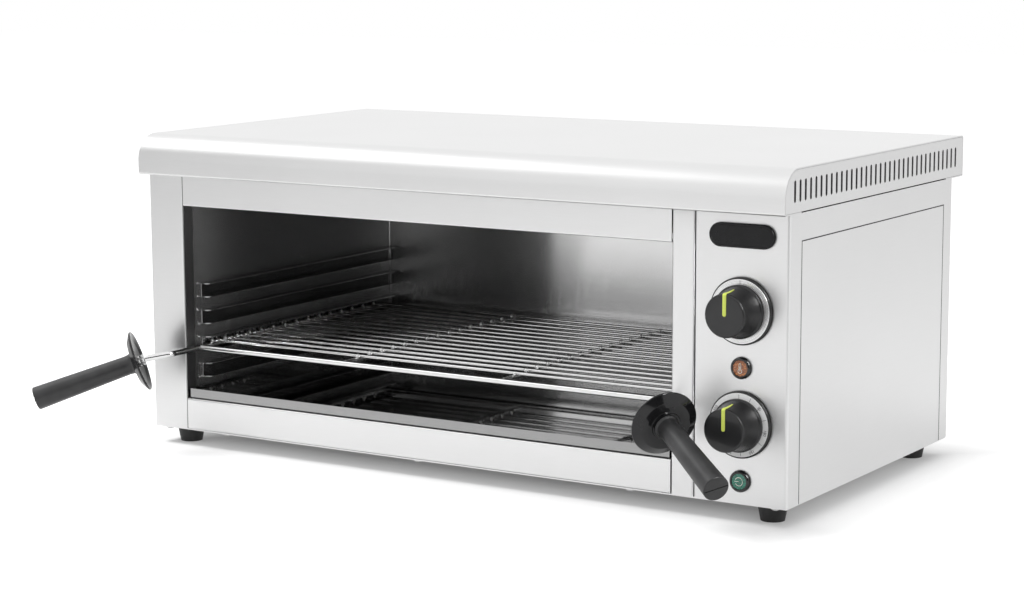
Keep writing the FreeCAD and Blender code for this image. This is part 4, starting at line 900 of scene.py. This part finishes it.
rack = {
    "wireRadius": 1.4 * mm,
    "wireCount": 15,
    "wirePitch": 17.0 * mm,
    "rodRadius": 2.75 * mm,
    # a bead grips each wire where it lies on a rod or a cross bar, with a smaller one in the corner behind:
    # radius, how much longer it is along the wire, and its place from the rod's middle and the wire's front
    "beads": ((2.0 * mm, 1.1, 0.4 * mm, 1.4 * mm, -0.3 * mm),
              (1.0 * mm, 1.0, -1.4 * mm, 4.76 * mm, -1.0 * mm)),
}
# partly painted: the beads are rougher than the wires, and painted lighter so that they show as bright
# specks: a painted highlight
finish["weld_glint_chrome"] = chrome("weldGlintChrome", 0.94, 0.28)
alongWire = Matrix.Rotation(pi / 2, 4, "Y")

wireLow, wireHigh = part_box("rack_wires")
r, wireLong, wireZ = rack["wireRadius"], wireHigh.x - wireLow.x, (wireLow.z + wireHigh.z) / 2
wireRows = {"rows": rack["wireCount"], "rowStep": (0.0, rack["wirePitch"], 0.0)}
wireEnd = [(r * sin(a), r * 0.6 * (1 - cos(a))) for a in sweep(0, pi / 2, 4)]
wire = lathe("rackWires", wireEnd + [(out, wireLong - up) for out, up in wireEnd[::-1]], 20)
wire = moved(wire, seatAt(wireLow.x, wireLow.y + r, wireZ, alongWire))
wires = repeated(wire, gridTree, finish["rack_chrome"], **wireRows)
finished(wires, 50, "rack_chrome", "rack_wires", body="rack")

rodHigh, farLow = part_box("rack_rod_left")[1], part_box("rack_rod_right")[0]
rodX, rodZ, farX = rodHigh.x - rack["rodRadius"], rodHigh.z - rack["rodRadius"], farLow.x + rack["rodRadius"]


def weldBead(radius, stretch, x, y, z):
    path = [(radius * sin(a), -radius * stretch * cos(a)) for a in sweep(0, pi, 8)]
    return moved(lathe("bead", path, 14), seatAt(rodX + x, wireLow.y + y, wireZ + z, alongWire))


weld = joined("rackWelds", [weldBead(*bead) for bead in rack["beads"]])
weld = repeated(weld, gridTree, finish["weld_glint_chrome"], columns=4, columnStep=((farX - rodX) / 3, 0.0, 0.0),
                **wireRows)
finished(weld, 60, "rack_chrome", body="rack", look="weld_glint_chrome")
print("rack made")


# Handles: a swept-back guard, a tapered grip with a slot in its end, and two nuts

grip = {
    "splay": 53.8,  # of the handles from straight ahead, and their fall, in degrees
    "fall": 19.4,
    "guardOut": 23.4 * mm,  # the guard's middle from the rod, the body's front and the rod's height
    "guardFront": 42.8 * mm,
    "guardDrop": 6.65 * mm,
    # sections in millimetres: radius, height along the axis and rounding
    # the guard from its bore over its hollow back and its rim to the band and the plateau on its face
    "guardSection": ((2.8, -1.5), (10, -1.5, 2), (18.8, -2.9, 6), (25.7, -5, 0.8), (25.7, -3.1, 0.8),
                     (19.3, 0.55, 1), (15, 0.55, 3), (11.3, 0.1, 0.4), (10.9, 1.48), (2.8, 1.48)),
    # the grip from its bore over its collar and its neck to its end
    "gripSection": ((0, 34), (2.8, 34), (2.8, 1.5), (10, 1.5, 0.5), (8.4, 3.9, 2), (8, 7.5, 8),
                    (9.8, 88.5, 1), (0, 88.5)),
    "long": 88.5 * mm,
    "slotWide": 0.7 * mm,
    "slotLong": 24.0 * mm,
    "slotDeep": 0.8 * mm,
    "slotTurn": -75.0,
    "seamWide": 0.35 * mm,  # the mould's parting line over the rim band
    "seamTurn": 118.0,
    "seamEnds": ((19.4 * mm, 0.50 * mm), (25.2 * mm, -2.75 * mm)),  # radius and height
    "hubHalf": 1.5 * mm,
    "boreRadius": 2.8 * mm,
    "nutFlats": 9.0 * mm,
    "nutHigh": 3.0 * mm,
    "nutGap": 0.3 * mm,
    "nutChamfer": 0.5 * mm,
}
finish["guard_plastic"] = moulded("guardPlastic", (0.012, 0.012, 0.013), 0.15, depth=0.000002, coat=0.5,
                                  gloss=0.2)


def handleFrame(side):
    # own Z runs down the grip, own Y is as near to up as it can be
    out, rod = (-1, rodX) if side == "left" else (1, farX)
    splay, fall = radians(grip["splay"]), radians(grip["fall"])
    along = cos(fall)
    axis = Vector((out * sin(splay) * along, -cos(splay) * along, -sin(fall)))
    across = Vector((0, 0, 1)).cross(axis).normalized()
    turn = Matrix((across, axis.cross(across), axis)).transposed().to_4x4()
    return seatAt(rod + out * grip["guardOut"], frontY - grip["guardFront"], rodZ - grip["guardDrop"], turn)


def turnedMesh(name, section, segments):
    return lathe(name, roundedPath([[value * mm for value in corner] for corner in section], 6), segments)


def hexNut(low):
    # chamfered corners: a hexagon cut by a cone at each end
    flats, chamfer, high = grip["nutFlats"], grip["nutChamfer"], low + grip["nutHigh"]
    corner = flats / sqrt(3)
    angles = sweep(0, 2 * pi, 48)[:-1]
    hexagon = [flats / 2 / cos(a % (pi / 3) - pi / 6) for a in angles]
    rings = []
    for limit, height in ((corner - chamfer, low), (corner, low + chamfer / 2), (corner, high - chamfer / 2),
                          (corner - chamfer, high), (grip["boreRadius"], high), (grip["boreRadius"], low)):
        reaches = [min(reach, limit) for reach in hexagon]
        rings.append([(reach * cos(a), reach * sin(a), height) for reach, a in zip(reaches, angles)])
    return skinned("nut", rings, around=True)


nutMeshes = []
for side in ("left", "right"):
    place = handleFrame(side)
    turn = radians(grip["seamTurn"] if side == "right" else 180 - grip["seamTurn"])
    ends = [(out * cos(turn), out * sin(turn), up) for out, up in grip["seamEnds"]]
    seam = tubeMesh("seam", ends, grip["seamWide"] / 2, 8)
    guard = joined("handleGuard_" + side, [turnedMesh("guard", grip["guardSection"], 128), seam])
    finished(moved(guard, place), 40, "handle_plastic", "handle_guard_" + side, body="rack",
             look="guard_plastic")
    x, y, end = grip["slotWide"] / 2, grip["slotLong"] / 2, grip["long"]
    slot = prism("slot", [(-x, -y), (x, -y), (x, y), (-x, y)], end - grip["slotDeep"], end + mm)
    slot = moved(slot, Matrix.Rotation(radians(grip["slotTurn"]), 4, "Z"))
    handle = carved(turnedMesh("handleGrip_" + side, grip["gripSection"], 96), slot)
    finished(moved(handle, place), 35, "handle_plastic", "handle_grip_" + side, body="rack")
    for i in range(2):
        foot = -grip["hubHalf"] - grip["nutHigh"] - i * (grip["nutHigh"] + grip["nutGap"])
        nutMeshes.append(moved(hexNut(foot), place))
finished(joined("handleNuts", nutMeshes), 35, "screw_steel", "handle_nuts", body="rack")
print("handles made")


# Stage: floor, dark cards that only reflections see, lamps, world and camera

stage = {
    "floorHalf": 6.0,
    "floorShade": 0.62,
    "cameraGlow": 0.62,  # lifts the paper to white for the camera
    # the paper's lift fades from cameraGlow to shadowGlow round the body's foot: a painted shadow on top of
    # the one the lamps cast
    "shadowGlow": 0.02,  # and this much under the body, so that its shadow stays
    "shadowReach": (-0.045, 0.060),  # from inside the body's foot to the open paper
    "glintGlow": 0.25,  # what reflections get on top of the lit paper
    # place across the floor, and how much darker reflections find it there
    "paperFall": ((-2.4, 0.20), (-1.8, 0.25), (-1.45, 0.70), (-1.0, 0.45), (-0.84, 0.32), (-0.5, 0.24),
                  (-0.41, 0.16), (-0.36, 0)),
    "worldSoft": 0.62,  # what the world gives to plain surfaces
    "cardFront": -0.51,  # the card's upright part
    "cardNear": -0.13,  # where its part on the floor begins
    "cardSpan": (-0.004, 0.62),
    "cardHigh": 0.9,
    "cardLift": 0.002,
    "cardSlant": 0.70,  # along the way that the cavity's second reflections leave it
    # place along the card, and its brightness there
    "cardTones": ((-0.004, 0.15), (0.038, 0.14), (0.060, 0.06), (0.115, 0.05), (0.150, 0.13), (0.185, 0.21),
                  (0.245, 0.22), (0.262, 0.02), (0.500, 0.02), (0.530, 0.13), (0.545, 0.14), (0.565, 0.04),
                  (0.62, 0.03)),
    # the dark room behind the camera shows as fine lines in the bends, and a grey flag shades the left end:
    # name, two ends of its foot, height and brightness
    "screens": (("darkRoom", (0.55, -2.55), (2.35, -1.15), 1.5, 0.025),
                ("greyFlag", (-2.3, -2.6), (-3.0, -1.2), 2.6, 0.50)),
}


def paperMaterial():
    paint = Recipe("floorPaper")
    pale, fall = stage["floorShade"], stage["paperFall"]
    rays = paint.add("ShaderNodeLightPath").outputs
    # in reflections the paper darkens towards the left
    across = paint.add("ShaderNodeSeparateXYZ", paint.coords()).outputs["X"]
    darker = paint.ramp(across, fall[0][0], fall[-1][0], fall)
    darker = paint.maths("MULTIPLY", darker, rays["Is Glossy Ray"])
    tone = paint.blend(darker, paint.mottle(paint.noise(3), pale - 0.005, pale), colour(0))
    # how far a spot of the paper lies outside the body's outline
    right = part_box("right_casing")[1].x
    middle = Vector(((caseLow.x + right) / 2, (caseLow.y + caseHigh.y) / 2, 0))
    spot = paint.add("ShaderNodeSeparateXYZ", paint.coords(offset=-middle)).outputs
    outside = [paint.maths("SUBTRACT", paint.maths("ABSOLUTE", spot[axis]), reach)
               for axis, reach in (("X", (right - caseLow.x) / 2), ("Y", (caseHigh.y - caseLow.y) / 2))]
    # painted shadow: less lift for the camera near the body's foot
    lit = paint.spread(paint.maths("MAXIMUM", *outside), stage["shadowGlow"], stage["cameraGlow"],
                       *stage["shadowReach"])
    seen = paint.maths("MULTIPLY", rays["Is Camera Ray"], lit)
    glow = paint.maths("MULTIPLY_ADD", rays["Is Glossy Ray"], stage["glintGlow"], seen)
    return paint.set(Base_Color=tone, Roughness=0.9, Specular_IOR_Level=0.0, Emission_Color=colour(1),
                     Emission_Strength=glow)


def cardMesh():
    # an upright sheet, and one on the floor that slants back to the body from its foot
    front, near, high, low = stage["cardFront"], stage["cardNear"], stage["cardHigh"], stage["cardLift"]
    left, right = stage["cardSpan"]
    drift = stage["cardSlant"] * (near - front)
    return meshOf("darkCard", [
        (left, front, low), (right, front, low), (right, front, high), (left, front, high),
        (left - drift, near, low), (right - drift, near, low),
    ], [(0, 1, 2, 3), (0, 4, 5, 1)])


def cardMaterial():
    # dark tones that only a second reflection sees, so the cavity gets them and the front doesn't
    recipe = Recipe("cardReflectionGlow")
    place = recipe.add("ShaderNodeTexCoord").outputs["Object"]
    parts = recipe.add("ShaderNodeSeparateXYZ", place).outputs
    slant = recipe.maths("MULTIPLY_ADD", parts["Y"], stage["cardSlant"], parts["X"])
    shift = stage["cardSlant"] * stage["cardFront"]
    left, right = (end + shift for end in stage["cardSpan"])
    stops = [(where + shift, tone) for where, tone in stage["cardTones"]]
    recipe.glow(recipe.ramp(slant, left, right, stops))
    later = recipe.maths("GREATER_THAN", recipe.add("ShaderNodeLightPath").outputs["Glossy Depth"], 1.5)
    clear = recipe.add("ShaderNodeBsdfTransparent").outputs[0]
    blend = recipe.add("ShaderNodeMixShader", later, clear, recipe.shader.outputs[0])
    recipe.put(blend.outputs[0], recipe.tree.nodes["Material Output"].inputs["Surface"])
    return recipe.material


def reflected(mesh, material):
    # a card that only reflections see
    piece = newPiece(mesh.name, mesh)
    mesh.materials.append(material)
    piece.visible_camera = piece.visible_diffuse = piece.visible_shadow = piece.visible_transmission = False
    return piece


half = stage["floorHalf"]
corners = [(-half, -half, 0), (half, -half, 0), (half, half, 0), (-half, half, 0)]
floor = newPiece("floor", meshOf("floor", corners, [(0, 1, 2, 3)]))
floor.data.materials.append(paperMaterial())
card = reflected(cardMesh(), cardMaterial())
# painted reflections: each screen glows with a fixed grey that only reflections see
for name, start, end, high, tone in stage["screens"]:
    sheet = meshOf(name, [(*start, 0), (*end, 0), (*end, high), (*start, high)], [(0, 1, 2, 3)])
    screenGlow = Recipe(name)
    reflected(sheet, screenGlow.glow(screenGlow.mottle(screenGlow.noise(40, detail=3), tone * 0.9, tone * 1.1)))

# the camera and mirrors see a white world, plain surfaces get less from it
world = bpy.data.worlds.new("studio")
bpy.context.scene.world = world
world.use_nodes = True
world.node_tree.nodes.clear()
sky = Wiring(world.node_tree)
rays = sky.add("ShaderNodeLightPath").outputs
direct = sky.maths("MAXIMUM", rays["Is Camera Ray"], rays["Is Glossy Ray"])
direct = sky.maths("MAXIMUM", direct, rays["Is Transmission Ray"])
levels = [sky.add("ShaderNodeBackground", colour(1), strength).outputs[0]
          for strength in (stage["worldSoft"], 1.0)]
sky.add("ShaderNodeOutputWorld", sky.add("ShaderNodeMixShader", direct, *levels).outputs[0])


def softbox(name, place, target, size, power, inReflections=True, onSurfaces=True):
    light = bpy.data.lights.new(name, "AREA")
    light.shape = "RECTANGLE"
    light.size, light.size_y = size
    light.energy = power
    holder = bpy.data.objects.new(name, light)
    holder.location = place
    holder.rotation_mode = "QUATERNION"
    holder.rotation_quaternion = (Vector(target) - Vector(place)).to_track_quat("-Z", "Y")
    holder.visible_glossy, holder.visible_diffuse = inReflections, onSurfaces
    bpy.context.collection.objects.link(holder)


softbox("keyLeft", (-1.4, -0.6, 1.95), (0, -0.1, 0.1), (1.1, 0.8), 45, inReflections=False)
softbox("glintLeft", (-1.5, -0.5, 1.95), (0, -0.1, 0.1), (1.5, 0.9), 5)
softbox("glintRight", (1.8, -0.70, 1.30), (0.2, -0.1, 0.1), (0.30, 0.9), 26, onSurfaces=False)
softbox("fillTop", (0.3, 0.6, 2.3), (0, 0, 0.1), (2.0, 1.6), 12, inReflections=False)

# the photograph's view, in the part's own frame; pan, tilt and roll in radians
view = {
    "place": (1.09741, -1.70511, 0.44179),
    "pan": 0.5633,
    "tilt": 1.4190,
    "roll": -0.0040,
    "lens": 86.715,
}
camera = bpy.data.cameras.new("photoView")
camera.lens, camera.sensor_width, camera.sensor_fit = view["lens"], 36, "HORIZONTAL"
camera.clip_start, camera.clip_end = 0.05, 60
holder = bpy.data.objects.new("photoView", camera)
holder.matrix_world = (
    Matrix.Translation(Vector(view["place"])) @ Matrix.Rotation(view["pan"], 4, "Z")
    @ Matrix.Rotation(view["tilt"], 4, "X") @ Matrix.Rotation(view["roll"], 4, "Z")
)
bpy.context.collection.objects.link(holder)
bpy.context.scene.camera = holder
bpy.context.scene.view_settings.view_transform = "Standard"
print("stage made")
